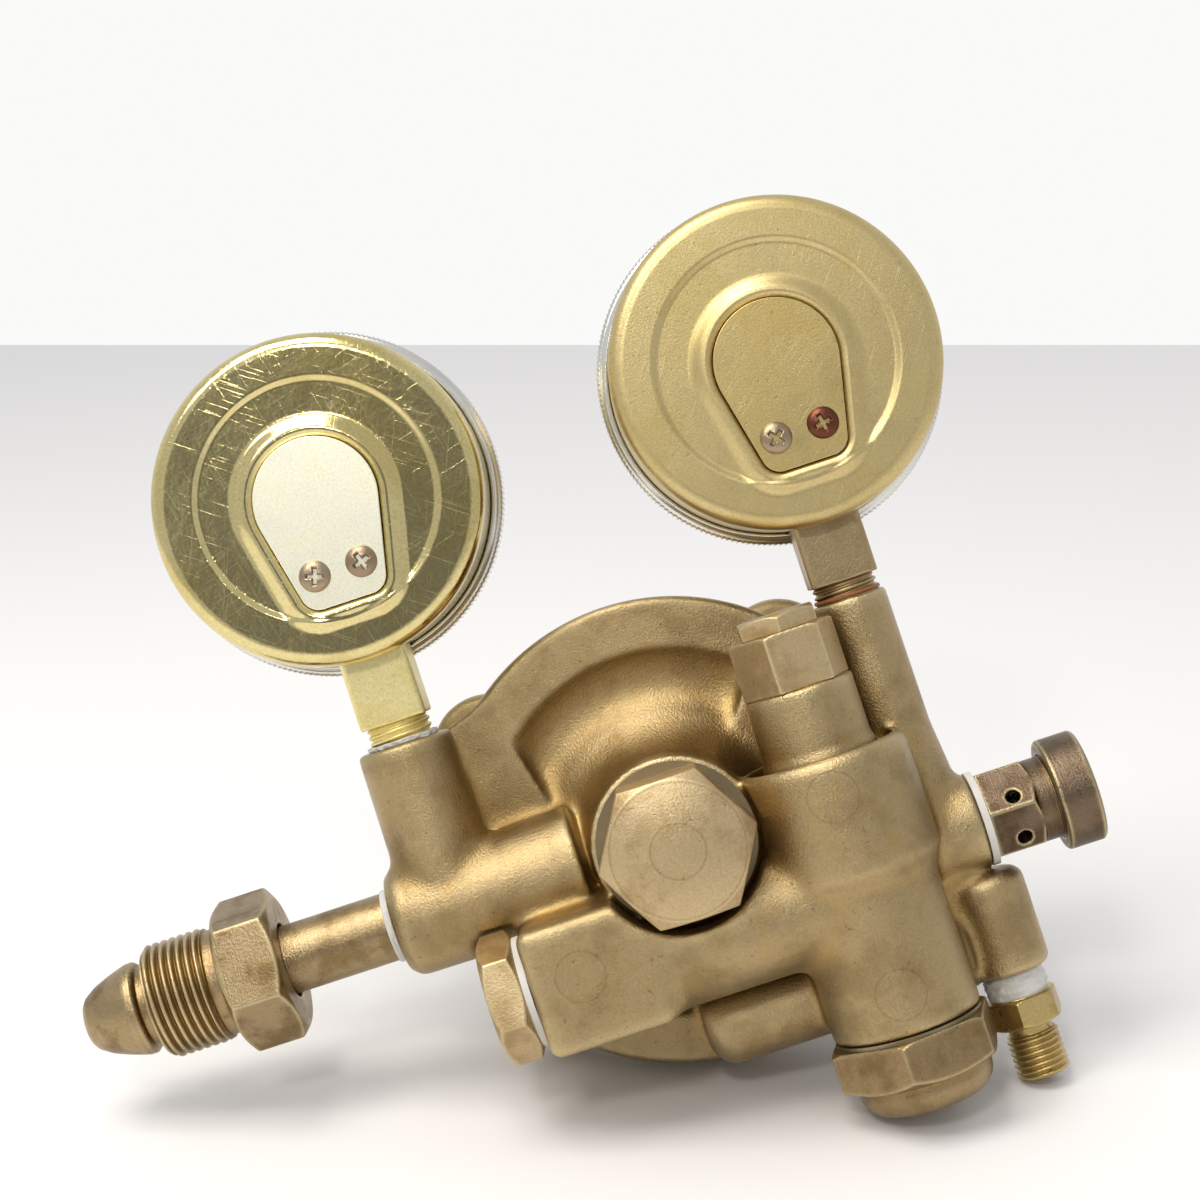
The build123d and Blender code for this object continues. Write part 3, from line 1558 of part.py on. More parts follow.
    # Toothed sector on its pivot below the pinion
    pivot_z = gauge["z"] - gear_distance
    pivot = place(gauge["x"], 0, pivot_z)
    tail = radians(sector_tail_angle)
    with BuildPart() as gauge_sector:
        teeth = gear_outline(sector_full_teeth, sector_teeth, 0.4)
        lean = pi / 2 + 2 * pi / sector_full_teeth * sector_rest_tooth
        upright = [(x * cos(lean) - y * sin(lean), x * sin(lean) + y * cos(lean)) for x, y in teeth]
        sector_plane = Plane(origin=place(gauge["x"], gear_front, pivot_z), x_dir=(-1, 0, 0), z_dir=BACK)
        with BuildSketch(sector_plane):
            with BuildLine():
                Polyline((-2.2, 0), (1.6, -1.6), *upright, close=True)
            make_face()
            Circle(2.6)
        extrude(amount=gear_face)
        with BuildSketch(sector_plane):
            with BuildLine():
                Polyline(
                    (0, 1.4),
                    (-sector_tail * cos(tail), sector_tail * sin(tail) + 1.2),
                    (-sector_tail * cos(tail), sector_tail * sin(tail) - 1.2),
                    (0, -1.6),
                    close=True,
                )
            make_face()
        extrude(amount=gear_face / 2)
        bar(pivot, BACK, frame_front + 0.1, frame_back - 0.1, 1.0)
        tail_pin = place(
            gauge["x"] + (sector_tail - 1.2) * cos(tail), 0, pivot_z + (sector_tail - 1.2) * sin(tail)
        )
        bar(tail_pin, BACK, gear_front, gear_back, link_pin_radius + running_clearance, Mode.SUBTRACT)
    finish(gauge_sector.part, f"{name}_sector")

    # Movement frame: two plates on pillars, standing on the socket's block
    with BuildPart() as gauge_movement_frame:
        frame_low = gauge["z"] + socket_block_top
        frame_high = gauge["z"] + 5.0
        for y in (frame_front, frame_back - frame_plate):
            with BuildSketch(Plane.XZ.offset(inlet_axis_y - y)):
                with Locations((gauge["x"] - inlet_reach, (frame_low + frame_high) / 2)):
                    Rectangle(11, frame_high - frame_low)
            extrude(amount=-frame_plate)
        for x in (-4.2, 4.2):
            pillar = place(gauge["x"] + x, 0, frame_low + 1.5)
            bar(pillar, BACK, frame_front, frame_back, 1.2)
        pillar = place(gauge["x"], 0, frame_high - 1.5)
        bar(pillar, BACK, frame_front, frame_back, 1.2)
        bar(centre, BACK, frame_front, frame_back, 0.8 + running_clearance, Mode.SUBTRACT)
        bar(pivot, BACK, frame_front, frame_back, 1.0 + running_clearance, Mode.SUBTRACT)
    finish(gauge_movement_frame.part, f"{name}_movement_frame")

    # Bourdon tube: a flattened tube bent to an arc, closed by its tip block
    with BuildPart() as gauge_bourdon_tube:
        start = radians(tube_start_angle)
        foot = Vector(*place(gauge["x"], tube_y, gauge["z"]))
        foot += Vector(cos(start), 0, sin(start)) * tube_radius
        section = Plane(origin=foot, x_dir=(cos(start), 0, sin(start)), z_dir=(-sin(start), 0, cos(start)))
        with BuildSketch(section):
            SlotOverall(tube_width, tube_thickness, rotation=90)
            SlotOverall(tube_width - 1.2, tube_thickness - 1.2, rotation=90, mode=Mode.SUBTRACT)
        revolve(
            axis=Axis(centre, BACK),
            revolution_arc=tube_start_angle - tube_tip_angle,
        )
        # Block that closes the tube's tip
        tip = radians(tube_tip_angle)
        tip_block = Plane(
            origin=place(
                gauge["x"] + tube_radius * cos(tip),
                tube_y - tube_width / 2,
                gauge["z"] + tube_radius * sin(tip),
            ),
            x_dir=(cos(tip), 0, sin(tip)),
            z_dir=BACK,
        )
        with BuildSketch(tip_block):
            Rectangle(tube_thickness + 1.2, 3.6)
        extrude(amount=tube_width)
    finish(gauge_bourdon_tube.part, f"{name}_bourdon_tube")

    # Link between the tube's tip and the sector's tail
    with BuildPart() as gauge_link:
        link_front = gear_front + gear_face / 2 + body_gap
        to_tip = Vector(*place(0, 0, 0)) * -1
        to_tip += Vector(*place(gauge["x"] + tube_radius * cos(tip), 0, gauge["z"] + tube_radius * sin(tip)))
        to_tip += Vector(*place(0, 0, 0)) - Vector(*tail_pin)
        link_plane = Plane(
            origin=Vector(*tail_pin) + Vector(0, link_front, 0), x_dir=to_tip.normalized(), z_dir=BACK
        )
        with BuildSketch(link_plane):
            with Locations((to_tip.length / 2, 0)):
                SlotOverall(to_tip.length + 2.4, 2.4)
        extrude(amount=link_thickness)
        bar(tail_pin, BACK, gear_front, link_front, link_pin_radius)
    finish(gauge_link.part, f"{name}_link")
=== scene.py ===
# %% [markdown]
# # A brass gas pressure regulator
# The regulator lies on a pale table and is seen from its back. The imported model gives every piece
# its place and size. This script adds what a solid model leaves out: forged fillets, threads,
# knurls, crossed screw heads, thread tape, and the metal's tarnish, polish and scratches.

# %% Load the frame
import json
import math
import bmesh
import bpy
import numpy as np
from mathutils import Matrix, Vector, noise


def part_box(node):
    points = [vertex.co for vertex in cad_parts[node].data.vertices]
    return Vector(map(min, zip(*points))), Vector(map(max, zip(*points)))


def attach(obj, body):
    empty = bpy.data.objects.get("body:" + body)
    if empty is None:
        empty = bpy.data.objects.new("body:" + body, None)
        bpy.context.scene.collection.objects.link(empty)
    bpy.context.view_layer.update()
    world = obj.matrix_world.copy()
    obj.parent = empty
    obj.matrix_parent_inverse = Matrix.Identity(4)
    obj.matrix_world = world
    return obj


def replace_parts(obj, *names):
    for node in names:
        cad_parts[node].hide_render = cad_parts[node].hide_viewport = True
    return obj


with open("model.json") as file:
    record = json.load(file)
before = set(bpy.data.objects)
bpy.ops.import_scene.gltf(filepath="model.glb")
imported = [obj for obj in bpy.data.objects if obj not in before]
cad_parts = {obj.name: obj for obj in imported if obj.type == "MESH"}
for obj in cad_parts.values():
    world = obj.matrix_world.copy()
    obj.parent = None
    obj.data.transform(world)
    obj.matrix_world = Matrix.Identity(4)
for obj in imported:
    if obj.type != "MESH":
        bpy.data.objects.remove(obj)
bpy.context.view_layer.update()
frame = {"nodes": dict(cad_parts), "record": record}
nodes = frame["nodes"]
scene = bpy.context.scene
scene.view_settings.view_transform = "Standard"

# %% Places read from the frame
MM = 0.001
GAUGE_SEAT = 0.036  # the tops of both gauge bosses


def middle(node):
    """The middle of a node's box, in metres."""
    low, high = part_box(node)
    return (low + high) / 2


diaphragm_axis = middle("diaphragm")
barrel_axis = middle("first_stage_cap_gasket")
arm_axis = middle("passage_plug_washer")
relief_axis = middle("relief_valve_washer")
outlet_axis = middle("outlet_thread_tape")
inlet_case, delivery_case = middle("inlet_gauge_case"), middle("delivery_gauge_case")
GAUGES = (("inlet_gauge", inlet_case), ("delivery_gauge", delivery_case))
print("gauges at", [round(v, 4) for v in inlet_case], [round(v, 4) for v in delivery_case])

# %% [markdown]
# ## Camera
# The photo was taken from about half a metre with a moderate lens. Straight edges that run away
# from the viewer meet near the middle of the picture, so the lens looks almost exactly at the
# regulator's back. The regulator leans on its own parts, which turns it by about 18 degrees in the
# picture. A matrix states that turn exactly, where a track-to constraint would hide it.

# %% Camera
FOCAL_PIXELS = 2302.2
PICTURE_PIXELS = 1200
camera = bpy.data.objects.new("camera", bpy.data.cameras.new("camera"))
scene.collection.objects.link(camera)
camera.data.sensor_width = 36
camera.data.lens = 36 * FOCAL_PIXELS / PICTURE_PIXELS
camera.data.clip_start, camera.data.clip_end = 0.01, 20
right = Vector((-0.94964, -0.01664, -0.31291))
up = Vector((-0.31296, 0.00051, 0.94976))
back = right.cross(up).normalized()
up = back.cross(right)
turn = Matrix((right.normalized(), up.normalized(), back)).transposed()
camera.matrix_world = Matrix.Translation((-0.11591, 0.48452, 0.04881)) @ turn.to_4x4()
scene.camera = camera
print("lens", round(camera.data.lens, 1), "mm")

# %% [markdown]
# ## Table and light
# The regulator rests on three of its own points. The table is the plane through them: the face of
# the object's convex hull that looks most nearly the way gravity pulls in the photo. The table
# ends at a far edge that runs level in the picture, and the pale room beyond it stands for the
# white wall. A dark patch of the room round the camera shows in polished brass as olive bands.

# %% Resting plane
GRAVITY = Vector((0.2946, -0.329, -0.897)).normalized()


def places(mesh):
    """The places of a mesh's vertices, one row each."""
    values = np.empty(len(mesh.vertices) * 3)
    mesh.vertices.foreach_get("co", values)
    return values.reshape(-1, 3)


def resting_plane(direction):
    """The hull face whose outward normal is nearest to a direction: (point, upward normal)."""
    points = np.unique(np.concatenate([places(n.data) for n in nodes.values()]).round(4), axis=0)
    depth = points @ np.array(direction)
    cloud = bmesh.new()
    for point in points[depth > depth.max() - 0.04]:
        cloud.verts.new(point)
    bmesh.ops.convex_hull(cloud, input=cloud.verts)
    cloud.normal_update()
    large = [f for f in cloud.faces if f.calc_area() > 1e-4]
    best = max(large, key=lambda f: f.normal.dot(direction))
    point, normal = best.calc_center_median(), -best.normal
    cloud.free()
    return point, normal


rest_point, rest_up = resting_plane(GRAVITY)
print("table normal", [round(v, 3) for v in rest_up], "off", round(math.degrees(rest_up.angle(-GRAVITY)), 1))

# %% Colour and node helpers


def linear(code):
    """A linear RGBA colour from an sRGB hex code."""
    values = [int(code[i : i + 2], 16) / 255 for i in (1, 3, 5)]
    return (*[v / 12.92 if v <= 0.04045 else ((v + 0.055) / 1.055) ** 2.4 for v in values], 1.0)


def add(tree, kind, inputs=(), **settings):
    """Add a node. An input is named or numbered, and takes a node, a socket or a plain value."""
    node = tree.nodes.new(kind)
    for key, value in settings.items():
        setattr(node, key, value)
    for key, value in dict(inputs).items():
        source = value.outputs[0] if isinstance(value, bpy.types.Node) else value
        if isinstance(source, bpy.types.NodeSocket):
            tree.links.new(source, node.inputs[key])
        else:
            node.inputs[key].default_value = source
    return node


def new_material(name):
    """A material with an empty tree but its surface shader and output."""
    material = bpy.data.materials.new(name)
    material.use_nodes = True
    tree = material.node_tree
    tree.nodes.clear()
    shader = add(tree, "ShaderNodeBsdfPrincipled")
    add(tree, "ShaderNodeOutputMaterial", {"Surface": shader})
    return material, tree, shader


# %% Table and wall
def floor_material():
    """Matt white paint. Rays that come from below pass through it, so it never hides the object."""
    material, tree, shader = new_material("white_painted_board")
    shader.inputs["Base Color"].default_value = linear("#efedec")
    shader.inputs["Roughness"].default_value = 0.6
    clear = add(tree, "ShaderNodeBsdfTransparent")
    side = add(tree, "ShaderNodeNewGeometry")
    mix = add(tree, "ShaderNodeMixShader", {0: side.outputs["Backfacing"], 1: shader, 2: clear})
    tree.links.new(mix.outputs[0], tree.nodes["Material Output"].inputs["Surface"])
    return material


def sheet(name, corners):
    """A flat square stage piece from four corners."""
    mesh = bpy.data.meshes.new(name)
    mesh.from_pydata([tuple(c) for c in corners], [], [(0, 1, 2, 3)])
    thing = bpy.data.objects.new(name, mesh)
    scene.collection.objects.link(thing)
    return thing


# The table's far edge is level in the picture, this far above the middle of the frame.
WALL_FOOT_PIXELS = 255
eye = camera.matrix_world.translation
ray = (-back + up * WALL_FOOT_PIXELS / FOCAL_PIXELS).normalized()
foot = eye + ray * ((rest_point - eye).dot(rest_up) / ray.dot(rest_up))
level = rest_up.cross(ray.cross(right)).normalized()
away = rest_up.cross(level).normalized()
if away.dot(back) > 0:
    away = -away
WIDE = 4.0
near = foot - 3 * away
table = sheet("table", (near - WIDE * level, foot - WIDE * level, foot + WIDE * level, near + WIDE * level))
if table.data.polygons[0].normal.dot(rest_up) < 0:
    table.data.flip_normals()
table.data.materials.append(floor_material())
print("wall foot", [round(v, 3) for v in foot], "is", round((foot - eye).length, 3), "m from the lens")

# %% World and lamps
world = bpy.data.worlds.new("daylight_room")
scene.world = world
world.use_nodes = True
sky = world.node_tree
sky.nodes.clear()
direction = add(sky, "ShaderNodeTexCoord")
depth = add(sky, "ShaderNodeSeparateXYZ", {0: direction.outputs["Generated"]}).outputs["Y"]
room = add(sky, "ShaderNodeMapRange", {"Value": depth, 1: -0.4, 2: 0.4, 3: 0.9, 4: 0.7})
shade = add(sky, "ShaderNodeMapRange", {"Value": depth, 1: 0.93, 2: 0.995, 3: 1.0, 4: 0.3},
            interpolation_type="SMOOTHSTEP")
level_here = add(sky, "ShaderNodeMath", {0: room, 1: shade}, operation="MULTIPLY")
room_light = add(sky, "ShaderNodeBackground", {"Color": linear("#f6f7f9"), "Strength": level_here})
plain_white = add(sky, "ShaderNodeBackground", {"Color": linear("#fafaf9")})
path = add(sky, "ShaderNodeLightPath")
seen = add(sky, "ShaderNodeMixShader", {0: path.outputs["Is Camera Ray"], 1: room_light, 2: plain_white})
add(sky, "ShaderNodeOutputWorld", {"Surface": seen})


def lamp(name, place, target, size, power, colour):
    """A square soft lamp that looks at a target."""
    light = bpy.data.lights.new(name, "AREA")
    light.shape = "SQUARE"
    light.size = size
    light.energy = power
    light.color = linear(colour)[:3]
    thing = bpy.data.objects.new(name, light)
    scene.collection.objects.link(thing)
    away = Vector(place) - Vector(target)
    thing.matrix_world = Matrix.Translation(place) @ away.to_track_quat("Z", "Y").to_matrix().to_4x4()
    return thing


aim = diaphragm_axis
window = aim + 1.0 * rest_up + 0.25 * right.cross(rest_up).normalized() - 0.35 * right
lamp("window", window, aim, 0.6, 7.0, "#fffaf2")
lamp("side_window", aim + 0.5 * up + 0.5 * back - 0.55 * right, aim, 0.22, 0.8, "#fffdf6")
# This lamp stands a little above the place that the camera sees mirrored in the gauge backs. Brushed
# brass spreads it and looks nearly white, and polished brass beside it stays dark.
PLATE_LAMP_TILT = math.radians(20)
sight = (inlet_case - eye).normalized()
mirrored = Vector((sight.x, -sight.y, sight.z))
above = (up - mirrored * up.dot(mirrored)).normalized()
way = math.cos(PLATE_LAMP_TILT) * mirrored + math.sin(PLATE_LAMP_TILT) * above
lamp("plate_lamp", inlet_case + way, inlet_case, 0.12, 1.7, "#fffdf8")
print("lamps and world set")

# %% [markdown]
# ## Brass
# Almost every piece is brass, but each was made and has aged in its own way. Forged brass has a
# fine matt grain from pickling and a brown film that is thinner on edges. Turned brass shows fine
# rings. Polished brass reflects the room and has hairline scratches. One recipe makes them all
# from a base colour, a tarnish colour and the size of grain, blotches and scratches.

# %% Marks on brass
def hairlines(tree, spot, turns, across=0.16, along=16.0):
    """Fine scratches: noise stretched along a direction in the XZ plane, once for each turn; sizes in mm."""
    marks = None
    for count, turn in enumerate(turns):
        stretched = add(tree, "ShaderNodeMapping", {
            "Vector": spot, "Location": (count * 0.37, 0, 0), "Rotation": (0, turn, 0)})
        scaled = add(tree, "ShaderNodeVectorMath", {0: stretched, 1: (1000 / across, 60, 1000 / along)},
                     operation="MULTIPLY")
        streaks = add(tree, "ShaderNodeTexNoise", {"Vector": scaled, "Scale": 1.0, "Detail": 1.0})
        lines = add(tree, "ShaderNodeMapRange", {"Value": streaks, 1: 0.68, 2: 0.82})
        marks = lines if marks is None else add(tree, "ShaderNodeMath", {0: marks, 1: lines},
                                                operation="MAXIMUM")
    return marks


def ring_marks(tree, spot, rings):
    """Shallow circles left by a pin or a tool, each (x, z, radius) in metres, on faces towards +Y."""
    side = add(tree, "ShaderNodeSeparateXYZ",
               {0: add(tree, "ShaderNodeNewGeometry").outputs["True Normal"]}).outputs[1]
    total = None
    for x, z, radius in rings:
        flat = add(tree, "ShaderNodeVectorMath", {0: spot, 1: (1, 0, 1)}, operation="MULTIPLY")
        reach = add(tree, "ShaderNodeVectorMath", {0: flat, 1: (x, 0, z)},
                    operation="DISTANCE").outputs["Value"]
        off = add(tree, "ShaderNodeMath", {0: reach, 1: radius, 2: 0.00022}, operation="COMPARE")
        total = off if total is None else add(tree, "ShaderNodeMath", {0: total, 1: off}, operation="MAXIMUM")
    facing = add(tree, "ShaderNodeMapRange", {"Value": side, 1: 0.6, 2: 0.9})
    return add(tree, "ShaderNodeMath", {0: total, 1: facing}, operation="MULTIPLY")


# %% Brass recipe
def brass(name, base, tarnish, patch, rough=(0.3, 0.5), grain=0.5, dent=0.5, blotch=14.0, cover=0.5,
          speckle=0.35,
          scratch=(), turned=None, patchy=0.3, worn=False, rings=(), wavy=0.0):
    """Aged brass. Sizes are in millimetres; turned numbers the axis that its tool marks go round."""
    material, tree, shader = new_material(name)
    spot = add(tree, "ShaderNodeTexCoord").outputs["Object"]
    clouds = add(tree, "ShaderNodeTexNoise", {"Vector": spot, "Scale": 1000 / blotch, "Detail": 5.0,
                                              "Roughness": 0.62})
    film = add(tree, "ShaderNodeMapRange", {"Value": clouds, 1: 0.62 - 0.35 * cover, 2: 0.82 - 0.35 * cover},
               interpolation_type="SMOOTHSTEP")
    colour = add(tree, "ShaderNodeMix", {0: film, 6: linear(base), 7: linear(tarnish)},
                 data_type="RGBA").outputs[2]
    stains = add(tree, "ShaderNodeTexNoise", {"Vector": spot, "Scale": 3000 / blotch, "Detail": 3.0,
                                              "Distortion": 0.6})
    stain = add(tree, "ShaderNodeMapRange", {"Value": stains, 1: 0.55, 2: 0.75, 4: patchy})
    colour = add(tree, "ShaderNodeMix", {0: stain, 6: colour, 7: linear(patch)}, data_type="RGBA").outputs[2]
    if worn:
        hollow = add(tree, "ShaderNodeAttribute", attribute_name="hollow").outputs["Fac"]
        edge = add(tree, "ShaderNodeAttribute", attribute_name="edge").outputs["Fac"]
        golden = add(tree, "ShaderNodeMapRange", {"Value": hollow, 2: 0.5, 4: 0.75})
        # Painted shade: the tightest hollows are darkened towards dark brown, as if occluded.
        dirty = add(tree, "ShaderNodeMapRange", {"Value": hollow, 1: 0.6, 2: 1.0, 4: 0.6})
        colour = add(tree, "ShaderNodeMix", {0: golden, 6: colour, 7: linear(patch)},
                     data_type="RGBA").outputs[2]
        colour = add(tree, "ShaderNodeMix", {0: dirty, 6: colour, 7: linear("#6b4f2b")},
                     data_type="RGBA").outputs[2]
        bared = add(tree, "ShaderNodeMapRange", {"Value": edge, 4: 0.55})
        colour = add(tree, "ShaderNodeMix", {0: bared, 6: colour, 7: linear("#dccb9f")},
                     data_type="RGBA").outputs[2]
    sand = add(tree, "ShaderNodeTexNoise", {"Vector": spot, "Scale": 1000 / grain, "Detail": 3.0,
                                            "Roughness": 0.7})
    dust = add(tree, "ShaderNodeMapRange", {"Value": sand, 1: 0.35, 2: 0.7, 3: 0.88, 4: 1.1})
    colour = add(tree, "ShaderNodeVectorMath", {0: colour, 1: dust}, operation="MULTIPLY").outputs[0]
    specks = add(tree, "ShaderNodeTexNoise", {"Vector": spot, "Scale": 900.0, "Detail": 1.0})
    pits = add(tree, "ShaderNodeMapRange", {"Value": specks, 1: 0.7, 2: 0.78, 4: speckle})
    colour = add(tree, "ShaderNodeMix", {0: pits, 6: colour, 7: linear("#4d3a22")},
                 data_type="RGBA").outputs[2]
    gloss = add(tree, "ShaderNodeMapRange", {"Value": clouds, 1: 0.3, 2: 0.7, 3: rough[0],
                                             4: rough[1]}).outputs[0]
    bump = add(tree, "ShaderNodeBump", {"Height": sand, "Strength": dent, "Distance": 0.0003})
    bump = add(tree, "ShaderNodeBump", {"Height": pits, "Normal": bump, "Strength": 0.3,
                                        "Distance": 0.0002}, invert=True)
    if wavy:
        bump = add(tree, "ShaderNodeBump", {"Height": clouds, "Normal": bump, "Strength": wavy,
                                            "Distance": 0.0012})
    if turned is not None:
        axis = add(tree, "ShaderNodeSeparateXYZ", {0: spot}).outputs[turned]
        marks = add(tree, "ShaderNodeTexNoise", {"W": axis, "Scale": 2500.0, "Detail": 2.0},
                    noise_dimensions="1D")
        bump = add(tree, "ShaderNodeBump", {"Height": marks, "Normal": bump, "Strength": 0.15,
                                            "Distance": 0.0002})
    if scratch:
        lines = hairlines(tree, spot, scratch)
        bump = add(tree, "ShaderNodeBump", {"Height": lines, "Normal": bump, "Strength": 0.14,
                                            "Distance": 0.0001}, invert=True)
        gloss = add(tree, "ShaderNodeMath", {0: lines, 1: 0.1, 2: gloss}, operation="MULTIPLY_ADD").outputs[0]
    if rings:
        circles = ring_marks(tree, spot, rings)
        bump = add(tree, "ShaderNodeBump", {"Height": circles, "Normal": bump, "Strength": 0.5,
                                            "Distance": 0.0002})
        faint = add(tree, "ShaderNodeMath", {0: circles, 1: 0.25}, operation="MULTIPLY")
        colour = add(tree, "ShaderNodeMix", {0: faint, 6: colour, 7: linear("#7a6238")},
                     data_type="RGBA").outputs[2]
    shader.inputs["Metallic"].default_value = 1.0
    tree.links.new(colour, shader.inputs["Base Color"])
    tree.links.new(gloss, shader.inputs["Roughness"])
    tree.links.new(bump.outputs[0], shader.inputs["Normal"])
    return material


# %% The finishes
EJECTOR_MARKS = ((-0.0817, -0.0185, 0.0051), (-0.1403, 0.0002, 0.0051), (-0.1409, -0.0414, 0.0051))
cap_marks = tuple((diaphragm_axis.x, 0.0, r) for r in (0.0055, 0.0135))
FOUR_WAYS = (0.4, 1.3, 2.2, 2.9)
finishes = {
    "forged_brass": brass("pickled_forged_brass", "#aa946c", "#947e58", "#ae8c4c", rough=(0.28, 0.4),
                          dent=0.6, worn=True,
                          rings=EJECTOR_MARKS),
    "turned_brass": brass("tarnished_turned_brass", "#c7b088", "#ad946c", "#b99b62", rough=(0.36, 0.48),
                          dent=0.3, worn=True,
                          scratch=(0.2, 1.9), rings=cap_marks),
    # Painted shade: this cap brass is darker than the other caps because the spring cap's underside gets less
    # light.
    "spring_cap_with_painted_shade": brass("browned_cap_brass", "#9a8360", "#806a49", "#8e7446", rough=(0.28, 0.4),
                              dent=0.3, worn=True),
    "bonnet_brass": brass("forged_bonnet_brass", "#b59e72", "#a28a5f", "#b8924a", rough=(0.35, 0.5),
                          worn=True),
    "inlet_brass": brass("worn_turned_inlet_brass", "#a18c69", "#806b4a", "#977b45", rough=(0.26, 0.4),
                         turned=0, dent=0.4,
                         scratch=(1.5,), worn=True, blotch=9),
    "relief_brass": brass("browned_relief_brass", "#716050", "#554534", "#6f5833", rough=(0.27, 0.42),
                          turned=0, speckle=0.7,
                          dent=0.4, worn=True),
    "fitting_brass": brass("bright_turned_fitting_brass", "#c4ad75", "#a08650", "#c9ab5e",
                           rough=(0.25, 0.38), turned=2, dent=0.3,
                           speckle=0.6),
    "inner_brass": brass("clean_stamped_brass", "#d3ba7c", "#b99b5e", "#dcc283", rough=(0.2, 0.3), dent=0.1,
                         speckle=0.1),
    "sintered_bronze": brass("sintered_bronze_grains", "#9a7648", "#7c5a34", "#a98450", rough=(0.5, 0.7),
                             dent=1.0),
    "inlet_case_brass": brass("polished_case_brass", "#dccd94", "#d0bf82", "#c9b26a", rough=(0.11, 0.18),
                              dent=0.03, speckle=0.15,
                              scratch=FOUR_WAYS, blotch=25, patchy=0.3, wavy=0.35),
    # Painted sheen: the plate's base colour is raised nearly to white for the bright reflection it shows; the
    # plate lamp also lights it.
    "inlet_plate_brass": brass("brushed_plate_brass", "#fffbe4", "#fcf5d6", "#fdf6d8", rough=(0.36, 0.42),
                               dent=0.05, speckle=0.1,
                               scratch=(0.75, 0.85), patchy=0.15),
    "inlet_socket_brass": brass("milled_socket_brass", "#f2e3a6", "#e8d794", "#f4e7b4", rough=(0.38, 0.46),
                                dent=0.15, speckle=0.2,
                                scratch=(1.1,)),
    "delivery_case_brass": brass("dull_case_brass", "#cfbb86", "#c5b179", "#bda768", rough=(0.34, 0.42),
                                 dent=0.12, blotch=20,
                                 scratch=(0.6, 2.4), patchy=0.25, speckle=0.2),
    "delivery_plate_brass": brass("dull_plate_brass", "#cfb97f", "#c5ae72", "#bca262", rough=(0.34, 0.42),
                                  dent=0.12, blotch=12,
                                  scratch=(0.9,), speckle=0.2),
    "delivery_socket_brass": brass("dull_milled_socket_brass", "#ae9974", "#9c8762", "#a28a5a",
                                   rough=(0.3, 0.42), dent=0.3,
                                   scratch=(1.1,)),
}
print(len(finishes), "kinds of brass")

# %% [markdown]
# ## The other materials
# Steel screws and springs are drawn or machined and go dull grey. The bezels are knurled brass
# with bright nickel on it. Washers are white nylon, and the thread tape is thin soft plastic film.

# %% Plain finishes
def plain(name, colour, metallic=0.0, rough=0.5, grain=0.3, dent=0.3, second=None):
    """A simple finish with a fine grain and two close tones."""
    material, tree, shader = new_material(name)
    spot = add(tree, "ShaderNodeTexCoord").outputs["Object"]
    tone = add(tree, "ShaderNodeTexNoise", {"Vector": spot, "Scale": 150.0, "Detail": 3.0})
    mix = add(tree, "ShaderNodeMix", {0: tone, 6: linear(colour), 7: linear(second or colour)},
              data_type="RGBA")
    fine = add(tree, "ShaderNodeTexNoise", {"Vector": spot, "Scale": 1000 / grain, "Detail": 3.0})
    bump = add(tree, "ShaderNodeBump", {"Height": fine, "Strength": dent, "Distance": 0.0001})
    shader.inputs["Metallic"].default_value = metallic
    shader.inputs["Roughness"].default_value = rough
    tree.links.new(mix.outputs[2], shader.inputs["Base Color"])
    tree.links.new(bump.outputs[0], shader.inputs["Normal"])
    return material


screw_finish = plain("tarnished_screw_steel", "#b9aa90", 1.0, 0.34, grain=0.6, dent=0.5, second="#97846a")
screw_tree_nodes = screw_finish.node_tree
rust = add(screw_tree_nodes, "ShaderNodeAttribute", attribute_name="rust").outputs["Fac"]
screw_shader = screw_tree_nodes.nodes["Principled BSDF"]
clean = screw_shader.inputs["Base Color"].links[0].from_socket
rusty = add(screw_tree_nodes, "ShaderNodeMix", {0: rust, 6: clean, 7: linear("#6b4232")}, data_type="RGBA")
# Painted shade: the cross recess of each screw head is darkened to near black.
recess = add(screw_tree_nodes, "ShaderNodeAttribute", attribute_name="recess").outputs["Fac"]
deep = add(screw_tree_nodes, "ShaderNodeMix", {0: recess, 6: rusty.outputs[2], 7: linear("#2a1f14")},
           data_type="RGBA")
screw_tree_nodes.links.new(deep.outputs[2], screw_shader.inputs["Base Color"])
finishes.update({
    "steel": plain("zinc_plated_steel", "#8d8c88", 1.0, 0.35, second="#9b9a95"),
    "spring_steel": plain("drawn_spring_steel", "#82827f", 1.0, 0.3, second="#8f8f8b"),
    "grey_gasket": plain("pressed_soft_metal", "#a4977c", 1.0, 0.42, second="#7f7158"),
    "white_washer": plain("white_nylon", "#dcdad4", 0.0, 0.45, second="#c5c1b8"),
    "thread_tape": plain("white_thread_tape", "#dddcd9", 0.0, 0.5, dent=0.8, second="#bdb9b1"),
    "diaphragm_rubber": plain("black_sheet_rubber", "#1c1c1c", 0.0, 0.65, second="#242424"),
    "case_screw_steel": screw_finish,
    "bezel_chrome": plain("nickel_plated_bezel", "#e2e1dc", 1.0, 0.25, second="#cfcdc6"),
    "dial_white": plain("matt_white_dial_paint", "#eeece6", 0.0, 0.55, dent=0.05, second="#e9e7e0"),
    "pointer_black": plain("matt_black_pointer_paint", "#141414", 0.0, 0.5, dent=0.05),
})
glass, glass_tree, glass_shader = new_material("flat_window_glass")
glass_shader.inputs["Roughness"].default_value = 0.02
glass_shader.inputs["Transmission Weight"].default_value = 1.0
glass_shader.inputs["IOR"].default_value = 1.5
glass_shader.inputs["Alpha"].default_value = 0.3
finishes["gauge_glass"] = glass

# %% Dress the frame's own pieces
slot_of = {s["node"]: s["material_slot"] for s in frame["record"]["subparts"]}
for name, node in nodes.items():
    for place in node.material_slots:
        place.material = finishes[slot_of[name]]
print("dressed", len(nodes), "pieces")

